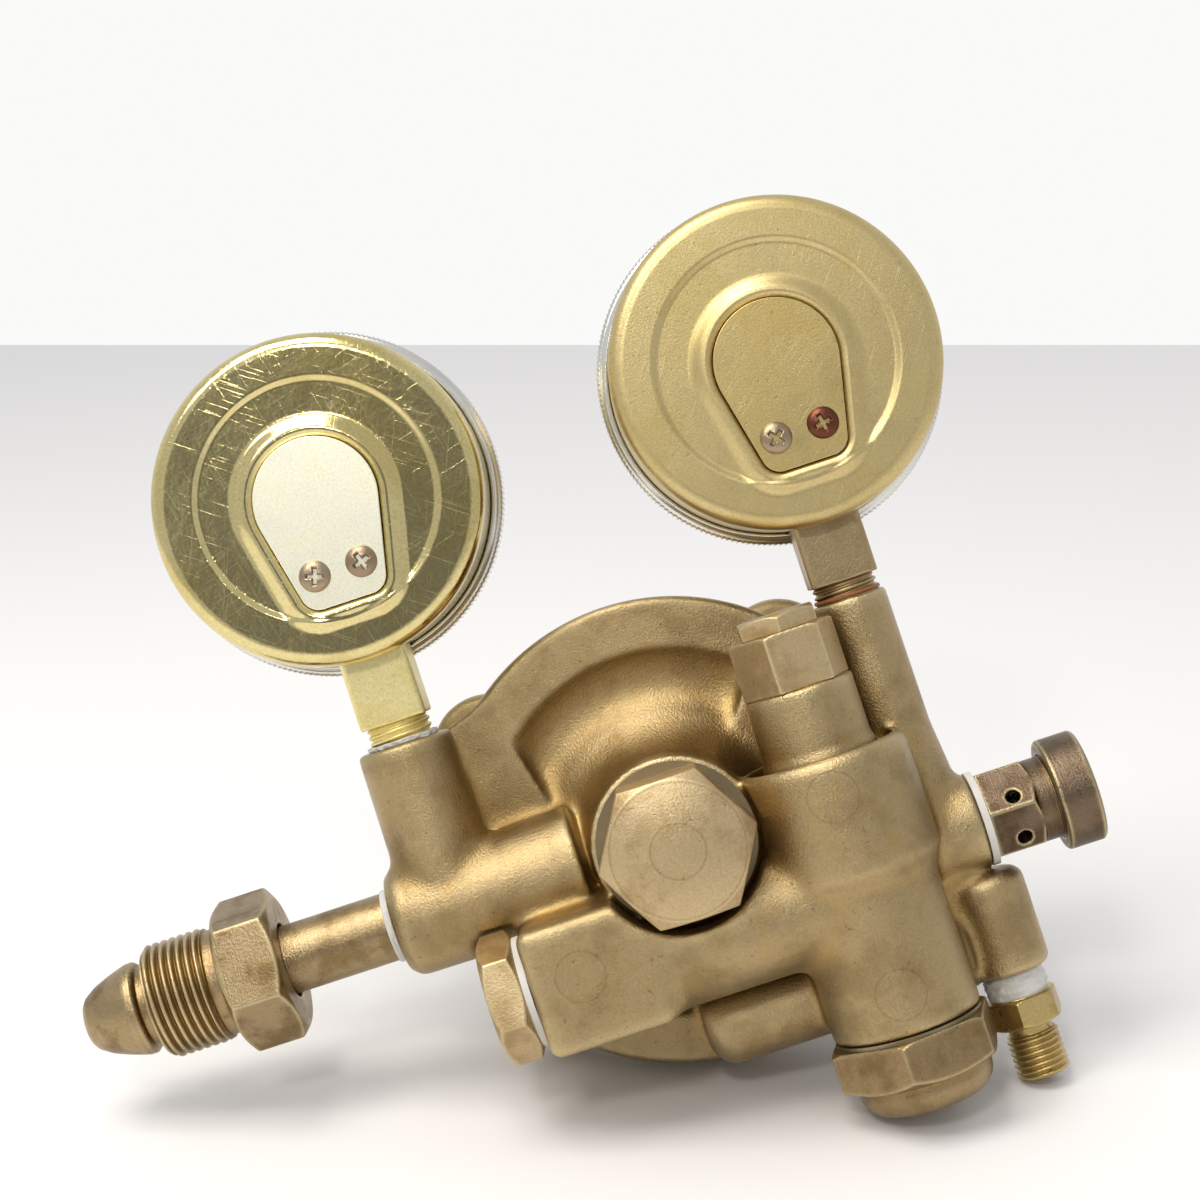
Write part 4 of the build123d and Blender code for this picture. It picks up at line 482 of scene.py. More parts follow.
# %% [markdown]
# ## Softened metal
# A solid model ends every edge in a hard line, but a forging has fillets wherever two forms meet,
# and even turned pieces lose their sharp edges over the years. A voxel remesh gives a copy an even
# skin, and a few rounds of relaxing then round it off: a weight of 0 keeps machined faces crisp.
# Bevels could do single edges, but they fail where many round forms run into each other.

# %% Remesh helpers
BODY_FACES, PIECE_FACES, NIPPLE_FACES = 95000, 42000, 50000
body_of = {n: b for b, group in frame["record"]["behaviour"]["bodies"].items() for n in group}


def evaluated(thing):
    """A new mesh of a thing with its modifiers applied."""
    bpy.context.view_layer.update()
    return bpy.data.meshes.new_from_object(thing.evaluated_get(bpy.context.evaluated_depsgraph_get()))


def merged_copy(node):
    """A copy of a CAD node's mesh whose loose triangles are joined."""
    mesh = nodes[node].data.copy()
    work = bmesh.new()
    work.from_mesh(mesh)
    bmesh.ops.remove_doubles(work, verts=work.verts, dist=1e-6)
    work.to_mesh(mesh)
    work.free()
    return mesh


def new_mesh(name, work):
    """A new mesh from a bmesh, which is freed."""
    mesh = bpy.data.meshes.new(name)
    work.to_mesh(mesh)
    work.free()
    return mesh


def temporary(mesh, *modifiers):
    """The mesh after modifiers, each given as (type, settings)."""
    thing = bpy.data.objects.new("temporary", mesh)
    scene.collection.objects.link(thing)
    for kind, settings in modifiers:
        modifier = thing.modifiers.new(kind, kind)
        for key, value in settings.items():
            setattr(modifier, key, value)
    result = evaluated(thing)
    bpy.data.objects.remove(thing)
    return result


def thinned(mesh, limit):
    """The mesh with at most about so many faces."""
    return temporary(mesh, ("DECIMATE", {"ratio": min(1.0, limit / len(mesh.polygons))}))


def points_and_edges(mesh):
    """Vertex places and edge ends as arrays."""
    edges = np.empty(len(mesh.edges) * 2, int)
    mesh.edges.foreach_get("vertices", edges)
    return places(mesh), edges.reshape(-1, 2)


def spread(values, edges):
    """The mean of each vertex's neighbours, for an array with one row per vertex."""
    count = np.bincount(edges.ravel(), minlength=len(values)).clip(1)
    columns = [
        np.bincount(edges[:, 0], values[edges[:, 1], k], len(values))
        + np.bincount(edges[:, 1], values[edges[:, 0], k], len(values))
        for k in range(values.shape[1])
    ]
    return np.stack(columns, 1) / count[:, None]


def relaxed(mesh, weight, passes, hollows=False):
    """Relax a mesh; weight is 0 to 1 for each vertex. With hollows, only dents are filled."""
    points, edges = points_and_edges(mesh)
    normals = np.empty(len(mesh.vertices) * 3)
    size = np.linalg.norm(points[edges[:, 0]] - points[edges[:, 1]], axis=1).mean()
    for count in range(passes):
        step = (spread(points, edges) - points) * weight[:, None] * 0.5
        if hollows and count % 4 == 0:
            mesh.vertices.foreach_set("co", points.ravel())
            mesh.update()
            mesh.vertices.foreach_get("normal", normals)
        if hollows:
            rise = (step * normals.reshape(-1, 3)).sum(1) / size
            step *= np.clip(rise * 100 - 0.5, 0, 1)[:, None]
        points += step
    mesh.vertices.foreach_set("co", points.ravel())
    mesh.update()


def piece(name, mesh, node, finish=None):
    """A finished piece for a CAD node: it rides on the node's body and takes its slot's finish, or the finish
    given.
    """
    mesh.name = name
    mesh.materials.clear()
    mesh.materials.append(finishes[finish or slot_of[node]])
    mesh.shade_smooth()
    thing = bpy.data.objects.new(name, mesh)
    scene.collection.objects.link(thing)
    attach(thing, body_of[node])
    return thing


# %% [markdown]
# ## The forged body
# Machined places stay crisp: the ends of the arms and bosses, the spot face round the middle cap,
# the barrel's foot and the rim. Everything between them is forged skin. How hollow or sharp the
# skin is at each point goes into two attributes, and the brass reads them: the film wears
# off on edges and goes yellow in the fillets, and the tightest hollows get painted shade in dark brown.

# %% Body
def near_disc(points, centre, axis, radius, reach):
    """True for points near a flat machined end, given in millimetres round its centre."""
    offset = (points - np.array(centre)) / MM
    along = offset @ np.array(axis, float)
    across = np.linalg.norm(offset - along[:, None] * np.array(axis, float), axis=1)
    return (np.abs(along) < reach) & (across < radius)


def forged_weight(points):
    """0 on machined places and in bores, 1 on the forged skin."""
    ends = [
        ((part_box("nipple_seal_ring")[0].x, 0, 0), (1, 0, 0), 13),
        ((inlet_case.x, 0, GAUGE_SEAT), (0, 0, 1), 11.5),
        ((delivery_case.x, 0, GAUGE_SEAT), (0, 0, 1), 9),
        ((barrel_axis.x, barrel_axis.y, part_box("first_stage_top_cap")[0].z + 0.016), (0, 0, 1), 13),
        ((barrel_axis.x, barrel_axis.y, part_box("first_stage_cap_gasket")[1].z), (0, 0, 1), 17),
        ((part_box("passage_plug_washer")[0].x, arm_axis.y, arm_axis.z), (1, 0, 0), 11.5),
        ((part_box("relief_valve_washer")[1].x, 0, relief_axis.z), (1, 0, 0), 11.5),
        ((outlet_axis.x, 0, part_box("outlet_thread_tape")[1].z), (0, 0, 1), 9.5),
        ((diaphragm_axis.x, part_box("seat_cap_gasket")[0].y, 0), (0, 1, 0), 18.5),
    ]
    weight = np.ones(len(points))
    for centre, axis, radius in ends:
        weight[near_disc(points, centre, axis, radius, 1.3)] = 0
    from_axis = np.hypot(points[:, 0] - diaphragm_axis.x, points[:, 2]) / MM
    depth = points[:, 1] / MM
    weight[(np.abs(from_axis - 17.5) < 0.7) & (depth > 16)] = 0
    weight[(from_axis < 37) & (depth < -12)] = 0
    weight[(from_axis < 11.6)] = 0
    weight[depth < -16] = 0
    from_barrel = np.hypot(points[:, 0] - barrel_axis.x, points[:, 1] - barrel_axis.y) / MM
    weight[(from_barrel < 13.2) & (points[:, 2] < 0.004)] = 0
    in_moat = (np.abs(from_barrel - 14.2) < 3.0) & (points[:, 2] > 0.003) & (points[:, 2] < 0.0095)
    weight[in_moat] = 0.12
    return weight


def wear_attributes(mesh, rounds=5, gain=4.0):
    """Store how hollow and how sharp the skin is at each vertex."""
    points, edges = points_and_edges(mesh)
    normals = np.empty(len(points) * 3)
    mesh.vertices.foreach_get("normal", normals)
    normals = normals.reshape(-1, 3)
    bend = ((spread(points, edges) - points) * normals).sum(1)
    scale = np.linalg.norm(points[edges[:, 0]] - points[edges[:, 1]], axis=1).mean() ** 2
    bend = bend[:, None] / scale * MM
    for _ in range(rounds):
        bend = 0.5 * bend + 0.5 * spread(bend, edges)
    for name, sign in (("hollow", 1.0), ("edge", -1.0)):
        values = np.clip(bend[:, 0] * sign * gain, 0, 1)
        mesh.attributes.new(name, "FLOAT", "POINT").data.foreach_set("value", values)
    return bend


body_mesh = temporary(merged_copy("body"), ("REMESH", {"mode": "VOXEL", "voxel_size": 0.7 * MM}))
body_points = places(body_mesh)
relaxed(body_mesh, np.ones(len(body_points)), 2)
skin = forged_weight(body_points)
relaxed(body_mesh, skin, 60, hollows=True)
relaxed(body_mesh, skin, 3)
print("body skin", len(body_mesh.polygons), "faces")
body_mesh = thinned(body_mesh, BODY_FACES)
bend = wear_attributes(body_mesh, 12, 8.0)
forged_body = piece("forged_body", body_mesh, "body")
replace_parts(forged_body, "body")
print("body", len(body_mesh.polygons), "faces, bend", round(float(bend.min()), 3),
      round(float(bend.max()), 3))

# %% Softened turned pieces
def softened(node, voxel, passes):
    """A copy of a CAD node with its edges rounded off."""
    mesh = temporary(merged_copy(node), ("REMESH", {"mode": "VOXEL", "voxel_size": voxel * MM}))
    relaxed(mesh, np.ones(len(mesh.vertices)), passes)
    return mesh


for node, voxel, passes in (
    ("seat_cap", 0.24, 2),
    ("passage_plug", 0.25, 2),
    ("first_stage_top_cap", 0.25, 2),
    ("first_stage_adjusting_plug", 0.2, 2),
    ("first_stage_spring_cap", 0.3, 2),
    ("relief_valve_cap", 0.22, 2),
    ("bonnet", 0.9, 3),
):
    mesh = softened(node, voxel, passes)
    mesh = thinned(mesh, PIECE_FACES)
    wear_attributes(mesh, 2)
    # The spring cap takes the darker cap brass, which is painted shade.
    worn = piece(f"worn_{node}", mesh, node, "spring_cap_with_painted_shade" if node == "first_stage_spring_cap" else None)
    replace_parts(worn, node)
    print(worn.name, len(mesh.polygons), "faces")

# %% [markdown]
# ## Threads
# A screw thread is a rule: the radius goes up and down once for each pitch along the axis, and the
# whole wave turns with the angle. Geometry Nodes can say that on a grid that is rolled into a
# sleeve, so one tree with named sizes makes the nut's coarse thread and the small pipe threads.

# %% Thread tree
def new_tree(name, inputs):
    """A Geometry Nodes tree with a geometry socket and named number inputs."""
    tree = bpy.data.node_groups.new(name, "GeometryNodeTree")
    tree.interface.new_socket("Geometry", in_out="INPUT", socket_type="NodeSocketGeometry")
    tree.interface.new_socket("Geometry", in_out="OUTPUT", socket_type="NodeSocketGeometry")
    for label, kind in inputs:
        tree.interface.new_socket(label, in_out="INPUT", socket_type=kind)
    entry = tree.nodes.new("NodeGroupInput")
    return tree, entry.outputs


def close_tree(tree, geometry, material_input):
    """End a tree in Realize Instances and Set Material."""
    real = add(tree, "GeometryNodeRealizeInstances", {"Geometry": geometry})
    coat = add(tree, "GeometryNodeSetMaterial", {"Geometry": real, "Material": material_input})
    add(tree, "NodeGroupOutput", {0: coat})


def run_tree(tree, material, values, start=None):
    """Run a tree once on a mesh, or on an empty one, and return the plain mesh it makes."""
    thing = bpy.data.objects.new("temporary", start or bpy.data.meshes.new("temporary"))
    scene.collection.objects.link(thing)
    modifier = thing.modifiers.new("rule", "NODES")
    modifier.node_group = tree
    for item in tree.interface.items_tree:
        if item.in_out == "INPUT" and item.name in values:
            modifier[item.identifier] = values[item.name]
        if item.in_out == "INPUT" and item.name == "Material":
            modifier[item.identifier] = material
    mesh = evaluated(thing)
    bpy.data.objects.remove(thing)
    return mesh


def open_grid(tree, size):
    """A grid that can be rolled up, with the position, the share of a turn, the last row and each row."""
    grid = add(tree, "GeometryNodeMeshGrid", {"Vertices X": size["Columns"], "Vertices Y": size["Rows"]})
    place = add(tree, "GeometryNodeInputPosition")
    where = add(tree, "ShaderNodeSeparateXYZ", {0: place}).outputs
    around = add(tree, MATH, {0: where[0], 1: 0.5}, operation="ADD")
    last = add(tree, MATH, {0: size["Rows"], 1: 1.0}, operation="SUBTRACT")
    upwards = add(tree, MATH, {0: where[1], 1: 0.5}, operation="ADD")
    row = add(tree, MATH, {0: upwards, 1: last}, operation="MULTIPLY")
    return grid, place, around, last, row


def roll_up(tree, grid, around, radius, height, material_input):
    """Roll a grid into a ring with this radius and height at each point, and end the tree."""
    angle = add(tree, MATH, {0: around, 1: 2 * math.pi}, operation="MULTIPLY")
    cosine = add(tree, MATH, {0: angle}, operation="COSINE")
    sine = add(tree, MATH, {0: angle}, operation="SINE")
    x = add(tree, MATH, {0: radius, 1: cosine}, operation="MULTIPLY")
    y = add(tree, MATH, {0: radius, 1: sine}, operation="MULTIPLY")
    rolled = add(tree, "ShaderNodeCombineXYZ", {0: x, 1: y, 2: height})
    ring = add(tree, "GeometryNodeSetPosition", {"Geometry": grid, "Position": rolled})
    welded = add(tree, "GeometryNodeMergeByDistance", {"Geometry": ring, "Distance": 1e-6})
    close_tree(tree, welded, material_input)


FLOAT, INTEGER, MATERIAL, MATH = "NodeSocketFloat", "NodeSocketInt", "NodeSocketMaterial", "ShaderNodeMath"
thread_tree, size = new_tree("screw_thread", [
    ("Length", FLOAT), ("Pitch", FLOAT), ("Crest Radius", FLOAT), ("Depth", FLOAT), ("Bore Radius", FLOAT),
    ("Rows", INTEGER), ("Columns", INTEGER), ("Material", MATERIAL),
])
grid, place, around, last, row = open_grid(thread_tree, size)
first_row = add(thread_tree, MATH, {0: row, 1: 1.0}, operation="SUBTRACT")
outer_rows = add(thread_tree, MATH, {0: last, 1: 3.0}, operation="SUBTRACT")
share = add(thread_tree, MATH, {0: first_row, 1: outer_rows}, operation="DIVIDE", use_clamp=True)
half_row = add(thread_tree, MATH, {0: last, 1: 0.5}, operation="SUBTRACT")
closing = add(thread_tree, MATH, {0: row, 1: half_row}, operation="LESS_THAN")
height = add(thread_tree, MATH, {0: share, 1: size["Length"]}, operation="MULTIPLY")
along = add(thread_tree, MATH, {0: height, 1: closing}, operation="MULTIPLY")
pitches = add(thread_tree, MATH, {0: along, 1: size["Pitch"]}, operation="DIVIDE")
turns = add(thread_tree, MATH, {0: pitches, 1: around}, operation="SUBTRACT")
doubled = add(thread_tree, MATH, {0: turns, 1: 2.0}, operation="MULTIPLY")
wave = add(thread_tree, MATH, {0: doubled, 1: 1.0}, operation="PINGPONG")
flank = add(thread_tree, "ShaderNodeMapRange", {"Value": wave, 1: 0.05, 2: 0.85},
            interpolation_type="SMOOTHSTEP")
root = add(thread_tree, MATH, {0: size["Crest Radius"], 1: size["Depth"]}, operation="SUBTRACT")
ridge = add(thread_tree, MATH, {0: flank, 1: size["Depth"], 2: root}, operation="MULTIPLY_ADD")
to_end = add(thread_tree, MATH, {0: size["Length"], 1: along}, operation="SUBTRACT")
chamfer = add(thread_tree, MATH, {0: to_end, 1: 0.9, 2: root}, operation="MULTIPLY_ADD")
run_out = add(thread_tree, MATH, {0: along, 1: 1.2, 2: root}, operation="MULTIPLY_ADD")
limit = add(thread_tree, MATH, {0: chamfer, 1: run_out}, operation="MINIMUM")
crest = add(thread_tree, MATH, {0: ridge, 1: limit}, operation="MINIMUM")
low_row = add(thread_tree, MATH, {0: row, 1: 0.5}, operation="LESS_THAN")
high_mark = add(thread_tree, MATH, {0: last, 1: 1.5}, operation="SUBTRACT")
high_row = add(thread_tree, MATH, {0: row, 1: high_mark}, operation="GREATER_THAN")
inside = add(thread_tree, MATH, {0: low_row, 1: high_row}, operation="ADD", use_clamp=True)
radius = add(thread_tree, "ShaderNodeMix", {0: inside, 2: crest, 3: size["Bore Radius"]})
roll_up(thread_tree, grid, around, radius, along, size["Material"])
print(len(thread_tree.nodes), "nodes in the thread tree")


# %% Cut a core and put a thread on it
def turned_to(mesh, origin, direction):
    """Turn a mesh whose axis is +Z towards a direction and move it to an origin."""
    aim_turn = Vector(direction).to_track_quat("Z", "Y").to_matrix().to_4x4()
    mesh.transform(Matrix.Translation(origin) @ aim_turn)
    return mesh


def outward(mesh):
    """Make a closed mesh's faces point outwards."""
    work = bmesh.new()
    work.from_mesh(mesh)
    bmesh.ops.recalc_face_normals(work, faces=work.faces)
    work.to_mesh(mesh)
    work.free()
    return mesh


def joined(*meshes):
    """One mesh from several, as separate shells."""
    work = bmesh.new()
    for mesh in meshes:
        work.from_mesh(mesh)
    return new_mesh("joined", work)


def sleeve_mesh(inner, outer, length, columns=96):
    """A plain thick sleeve along +Z, in millimetres."""
    work = bmesh.new()
    rings = []
    for radius, height in ((inner, 0), (outer, 0), (outer, length), (inner, length)):
        ring = []
        for k in range(columns):
            a = 2 * math.pi * k / columns
            ring.append(work.verts.new((radius * MM * math.cos(a), radius * MM * math.sin(a), height * MM)))
        rings.append(ring)
    for first, second in zip(rings, rings[1:] + rings[:1]):
        for k in range(columns):
            work.faces.new((first[k], first[k - 1], second[k - 1], second[k]))
    bmesh.ops.recalc_face_normals(work, faces=work.faces)
    return new_mesh("sleeve", work)


def threaded(mesh, origin, direction, length, crest, pitch, depth, columns=120):
    """Cut a mesh down over a length and put a real thread there; sizes in millimetres."""
    groove = turned_to(sleeve_mesh(crest - depth - 0.2, crest + 2, length), origin, direction)
    cutter = bpy.data.objects.new("cutter", groove)
    scene.collection.objects.link(cutter)
    core = temporary(mesh, ("BOOLEAN", {"operation": "DIFFERENCE", "object": cutter, "solver": "EXACT"}))
    bpy.data.objects.remove(cutter)
    rows = int(length / pitch * 12) + 4
    values = {"Length": length * MM, "Pitch": pitch * MM, "Crest Radius": crest * MM, "Depth": depth * MM,
              "Bore Radius": (crest - depth - 0.5) * MM, "Rows": rows, "Columns": columns}
    ridge_mesh = turned_to(outward(run_tree(thread_tree, finishes["inlet_brass"], values)), origin, direction)
    return joined(core, ridge_mesh)


nut_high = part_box("inlet_nut")[1]
THREAD_LENGTH, NUT_PITCH = 13.3, 25.4 / 14
nut_mesh = softened("inlet_nut", 0.3, 3)
nut_mesh = threaded(nut_mesh, (nut_high.x - THREAD_LENGTH * MM, 0, 0), (1, 0, 0), THREAD_LENGTH + 0.05,
                    12.25, NUT_PITCH, 1.05, 144)
wear_attributes(nut_mesh, 1)
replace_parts(piece("threaded_inlet_nut", nut_mesh, "inlet_nut"), "inlet_nut")

fitting_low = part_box("outlet_fitting")[0]
fitting_mesh = softened("outlet_fitting", 0.2, 2)
OUTLET_THREAD, OUTLET_CREST = 9.1, 5.56
outlet_start = (outlet_axis.x, 0, fitting_low.z + OUTLET_THREAD * MM)
fitting_mesh = threaded(fitting_mesh, outlet_start, (0, 0, -1), OUTLET_THREAD + 0.05, OUTLET_CREST,
                        25.4 / 20, 0.65, 96)
wear_attributes(fitting_mesh, 1)
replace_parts(piece("threaded_outlet_fitting", fitting_mesh, "outlet_fitting"), "outlet_fitting")

relief_mesh = softened("relief_valve_body", 0.25, 2)
relief_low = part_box("relief_valve_body")[0]
RELIEF_THREAD = 5.2
relief_start = (relief_low.x + RELIEF_THREAD * MM, 0, relief_axis.z)
relief_mesh = threaded(relief_mesh, relief_start, (-1, 0, 0), RELIEF_THREAD, 9.0, 1.3, 0.55, 120)
wear_attributes(relief_mesh, 1)
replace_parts(piece("threaded_relief_body", relief_mesh, "relief_valve_body"), "relief_valve_body")
print("threads cut")

# %% Gauge sockets and the nipple
for name, case, shown in (("inlet_gauge", inlet_case, 4.8), ("delivery_gauge", delivery_case, 3.6)):
    socket_mesh = softened(f"{name}_socket", 0.3, 2)
    socket_mesh = threaded(socket_mesh, (case.x, 0, GAUGE_SEAT), (0, 0, 1), shown, 6.8, 25.4 / 18, 0.6, 96)
    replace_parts(piece(f"threaded_{name}_socket", socket_mesh, f"{name}_socket"), f"{name}_socket")
nipple_mesh = softened("inlet_nipple", 0.28, 2)
nipple_mesh = thinned(nipple_mesh, NIPPLE_FACES)
wear_attributes(nipple_mesh, 2)
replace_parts(piece("worn_inlet_nipple", nipple_mesh, "inlet_nipple"), "inlet_nipple")
print("sockets and nipple done")

# %% [markdown]
# ## Gauge cases
# Each case is drawn from thin brass sheet: a cup with a rolled edge, a shallow step, and a window
# like a keyhole whose rim is pressed up into a round bead. The height of the back is a formula of
# the distance to the window's outline, so a polar grid of points can be lifted to it exactly. A
# solidify modifier then gives the sheet its thickness.

# %% Case back
GAUGE_BACK, FLOOR, CASE_FRONT = 14.0, 13.4, -11.0
CASE_RADIUS, EDGE, STEP_RADIUS = 34.5, 3.2, 25.0
WINDOW_CIRCLES = ((0, 0, 13.0), (5.2, -18.0, 4.0), (-5.2, -18.0, 4.0))


def window_distance(x, z):
    """Distance in mm from a window's outline, negative inside: the hull of three circles."""
    turns = np.linspace(0, 2 * math.pi, 361)
    ways = np.stack([np.cos(turns), np.sin(turns)])
    reach = np.max([cx * ways[0] + cz * ways[1] + r for cx, cz, r in WINDOW_CIRCLES], axis=0)
    return np.max(x[..., None] * ways[0] + z[..., None] * ways[1] - reach, axis=-1)


def back_height(x, z):
    """Height of the pressed back in mm."""
    r = np.hypot(x, z)
    step = np.clip((r - STEP_RADIUS + 0.5) / 1.0, 0, 1)
    height = FLOOR + (GAUGE_BACK - FLOOR) * step * step * (3 - 2 * step)
    d = window_distance(x, z)
    outer = 0.5 + 0.5 * np.cos(np.pi * np.clip((d - 1.5) / 3.6, 0, 1))
    inner = np.where(d < 0, 0.45 * np.clip(1 + d / 0.5, 0, 1),
                     0.45 + 0.55 * np.sin(np.pi / 2 * np.clip(d / 1.5, 0, 1)))
    return height + 1.6 * np.where(d > 1.5, outer, inner)


def case_mesh(centre):
    """A drawn case round a gauge axis at (x, z) in metres, open towards the front."""
    columns = 288
    flat = np.arange(0.4, CASE_RADIUS - EDGE, 0.4)
    roll = np.linspace(0, math.pi / 2, 9)
    wall = np.linspace(GAUGE_BACK - EDGE, CASE_FRONT, 30)[1:]
    turns = np.arange(columns) * 2 * math.pi / columns
    rings = [(r, None) for r in flat]
    rings += [(CASE_RADIUS - EDGE + EDGE * math.sin(t), GAUGE_BACK - EDGE + EDGE * math.cos(t)) for t in roll]
    rings += [(CASE_RADIUS, y) for y in wall]
    work = bmesh.new()
    hub = work.verts.new((centre.x, FLOOR * MM, centre.z))
    rows = []
    for r, y in rings:
        x, z = r * np.cos(turns), r * np.sin(turns)
        height = back_height(x, z) if y is None else np.full(columns, y)
        points = zip(centre.x + x * MM, height * MM, centre.z + z * MM)
        rows.append([work.verts.new(point) for point in points])
    for k in range(columns):
        work.faces.new((hub, rows[0][k - 1], rows[0][k]))
    for first, second in zip(rows, rows[1:]):
        for k in range(columns):
            work.faces.new((first[k - 1], second[k - 1], second[k], first[k]))
    slot = [v for row,
            (r, y) in zip(rows, rings) if y is not None and r == CASE_RADIUS and y < 7.3 for v in row
            if abs(v.co.x - centre.x) < 7.3 * MM and v.co.z < centre.z]
    bmesh.ops.delete(work, geom=slot, context="VERTS")
    work.normal_update()
    if sum(f.normal.y for f in work.faces) < 0:
        bmesh.ops.reverse_faces(work, faces=work.faces)
    return new_mesh("case", work)


for name, centre in GAUGES:
    mesh = temporary(case_mesh(centre), ("SOLIDIFY", {"thickness": 1.2 * MM, "offset": -1.0}))
    drawn = piece(f"drawn_{name}_case", mesh, f"{name}_case")
    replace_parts(drawn, f"{name}_case")
    print(drawn.name, len(mesh.polygons), "faces")

# %% Back plates
PLATE_TOP, PLATE_GAP, RIM_POINTS = 14.2, 0.06, 240


def plate_mesh(centre):
    """A flat plate that fills the window, with a soft edge."""
    work = bmesh.new()
    rim = []
    for k in range(RIM_POINTS):
        n = Vector((math.cos(2 * math.pi * k / RIM_POINTS), math.sin(2 * math.pi * k / RIM_POINTS)))
        cx, cz, r = max(WINDOW_CIRCLES, key=lambda c: c[0] * n.x + c[1] * n.y + c[2])
        x, z = cx + (r - PLATE_GAP) * n.x, cz + (r - PLATE_GAP) * n.y
        rim.append(work.verts.new((centre.x + x * MM, PLATE_TOP * MM, centre.z + z * MM)))
    face = work.faces.new(rim)
    if face.normal.y < 0:
        face.normal_flip()
    return temporary(new_mesh("plate", work), ("SOLIDIFY", {"thickness": 0.8 * MM, "offset": -1.0}),
                     ("BEVEL", {"width": 0.15 * MM, "segments": 2, "limit_method": "ANGLE",
                                "angle_limit": 0.8}))


for name, centre in GAUGES:
    mesh = plate_mesh(centre)
    plate = piece(f"brushed_{name}_plate", mesh, f"{name}_back_plate")
    mesh.shade_flat()
    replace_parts(plate, f"{name}_back_plate")

# %% [markdown]
# ## Bezels
# The bezel is a pressed ring that screws on the case, knurled so that it can be gripped. The ring
# is a profile carried round a circle, and the knurl is a small wave on the radius wherever the
# profile is far enough out. One tree does both: it reads the profile's points row by row.

# %% Lathe tree
lathe_tree, size = new_tree("turned_ring", [
    ("Rows", INTEGER), ("Columns", INTEGER), ("Teeth", FLOAT), ("Tooth Depth", FLOAT),
    ("Knurl Radius", FLOAT),
    ("Material", MATERIAL),
])
grid, place, around, last, row = open_grid(lathe_tree, size)
whole = add(lathe_tree, "FunctionNodeFloatToInt", {0: row}, rounding_mode="ROUND")
profile = add(lathe_tree, "GeometryNodeSampleIndex", {"Geometry": size["Geometry"], "Value": place,
                                                      "Index": whole}, data_type="FLOAT_VECTOR")
point = add(lathe_tree, "ShaderNodeSeparateXYZ", {0: profile}).outputs
teeth = add(lathe_tree, MATH, {0: around, 1: size["Teeth"]}, operation="MULTIPLY")
doubled = add(lathe_tree, MATH, {0: teeth, 1: 2.0}, operation="MULTIPLY")
wave = add(lathe_tree, MATH, {0: doubled, 1: 1.0}, operation="PINGPONG")
far_out = add(lathe_tree, MATH, {0: point[0], 1: size["Knurl Radius"]}, operation="GREATER_THAN")
notch = add(lathe_tree, MATH, {0: wave, 1: size["Tooth Depth"]}, operation="MULTIPLY")
cut = add(lathe_tree, MATH, {0: notch, 1: far_out}, operation="MULTIPLY")
radius = add(lathe_tree, MATH, {0: point[0], 1: cut}, operation="SUBTRACT")
roll_up(lathe_tree, grid, around, radius, point[2], size["Material"])


def lathed(outline, origin, direction, columns=96, teeth=0.0, depth=0.0, knurl_radius=1000.0):
    """A ring from a closed outline of (radius, height) points in mm, turned towards a direction."""
    profile_mesh = bpy.data.meshes.new("profile")
    closed = [*outline, outline[0]]
    profile_mesh.from_pydata([(r * MM, 0, h * MM) for r, h in closed],
                             [(k, k + 1) for k in range(len(outline))], [])
    values = {"Rows": len(closed), "Columns": columns + 1, "Teeth": float(teeth), "Tooth Depth": depth * MM,
              "Knurl Radius": knurl_radius * MM}
    return turned_to(outward(run_tree(lathe_tree, None, values, profile_mesh)), origin, direction)


# %% Knurled bezels
TEETH = 200
bezel_outline = [
    (34.7, 3.4), (35.3, 3.4), (35.5, 3.1), (35.7, 2.4), (36.3, 2.0), (36.9, 1.8), (37.15, 1.5), (37.2, 0.5),
    (37.2, -1.0),
    (37.2, -3.0), (37.2, -4.6), (37.1, -5.2), (36.6, -6.4), (35.9, -7.3), (34.9, -7.85), (34.0, -8.0),
    (33.0, -7.9),
    (32.5, -7.4), (32.5, -6.0), (32.5, -4.2), (35.4, -4.2), (35.4, 0.0), (34.7, 0.0),
]
for name, centre in GAUGES:
    origin = (centre.x, CASE_FRONT * MM, centre.z)
    mesh = lathed(bezel_outline, origin, (0, 1, 0), columns=TEETH * 4, teeth=TEETH, depth=0.42,
                  knurl_radius=36.95)
    bezel = piece(f"knurled_{name}_bezel", mesh, f"{name}_bezel")
    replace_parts(bezel, f"{name}_bezel")
    print(bezel.name, len(mesh.polygons), "faces")

# %% [markdown]
# ## Crossed screws
# The plate of each window is held by two round-headed screws with a cross recess. The head is a
# turned button with a cross pressed into it, made once by a Boolean, and a tree sets it on its
# points with its own turn. A number on each point says how rusty that screw is.

# %% Screw head
HEAD_RADIUS, HEAD_SIDES = 3.45, 64
CROSS_LENGTH, CROSS_WIDTH = 4.6, 1.15
head_outline = [(HEAD_RADIUS - 0.15, 0), (HEAD_RADIUS, 0.2), (HEAD_RADIUS, 0.55), (3.2, 1.0), (2.75, 1.4),
                (2.1, 1.72),
                (1.3, 1.92), (0.5, 2.0)]
button = bmesh.new()
around = [2 * math.pi * k / HEAD_SIDES for k in range(HEAD_SIDES)]
loops = [
    [button.verts.new((r * MM * math.cos(a), r * MM * math.sin(a), h * MM)) for a in around]
    for r, h in head_outline
]
for pole, loop in ((button.verts.new((0, 0, 0)), loops[0]), (button.verts.new((0, 0, 2 * MM)), loops[-1])):
    for k in range(HEAD_SIDES):
        button.faces.new((pole, loop[k - 1], loop[k]))
for first, second in zip(loops, loops[1:]):
    for k in range(HEAD_SIDES):
        button.faces.new((first[k - 1], first[k], second[k], second[k - 1]))
bmesh.ops.recalc_face_normals(button, faces=button.faces)
head = new_mesh("button", button)
arms = bmesh.new()
rings = []
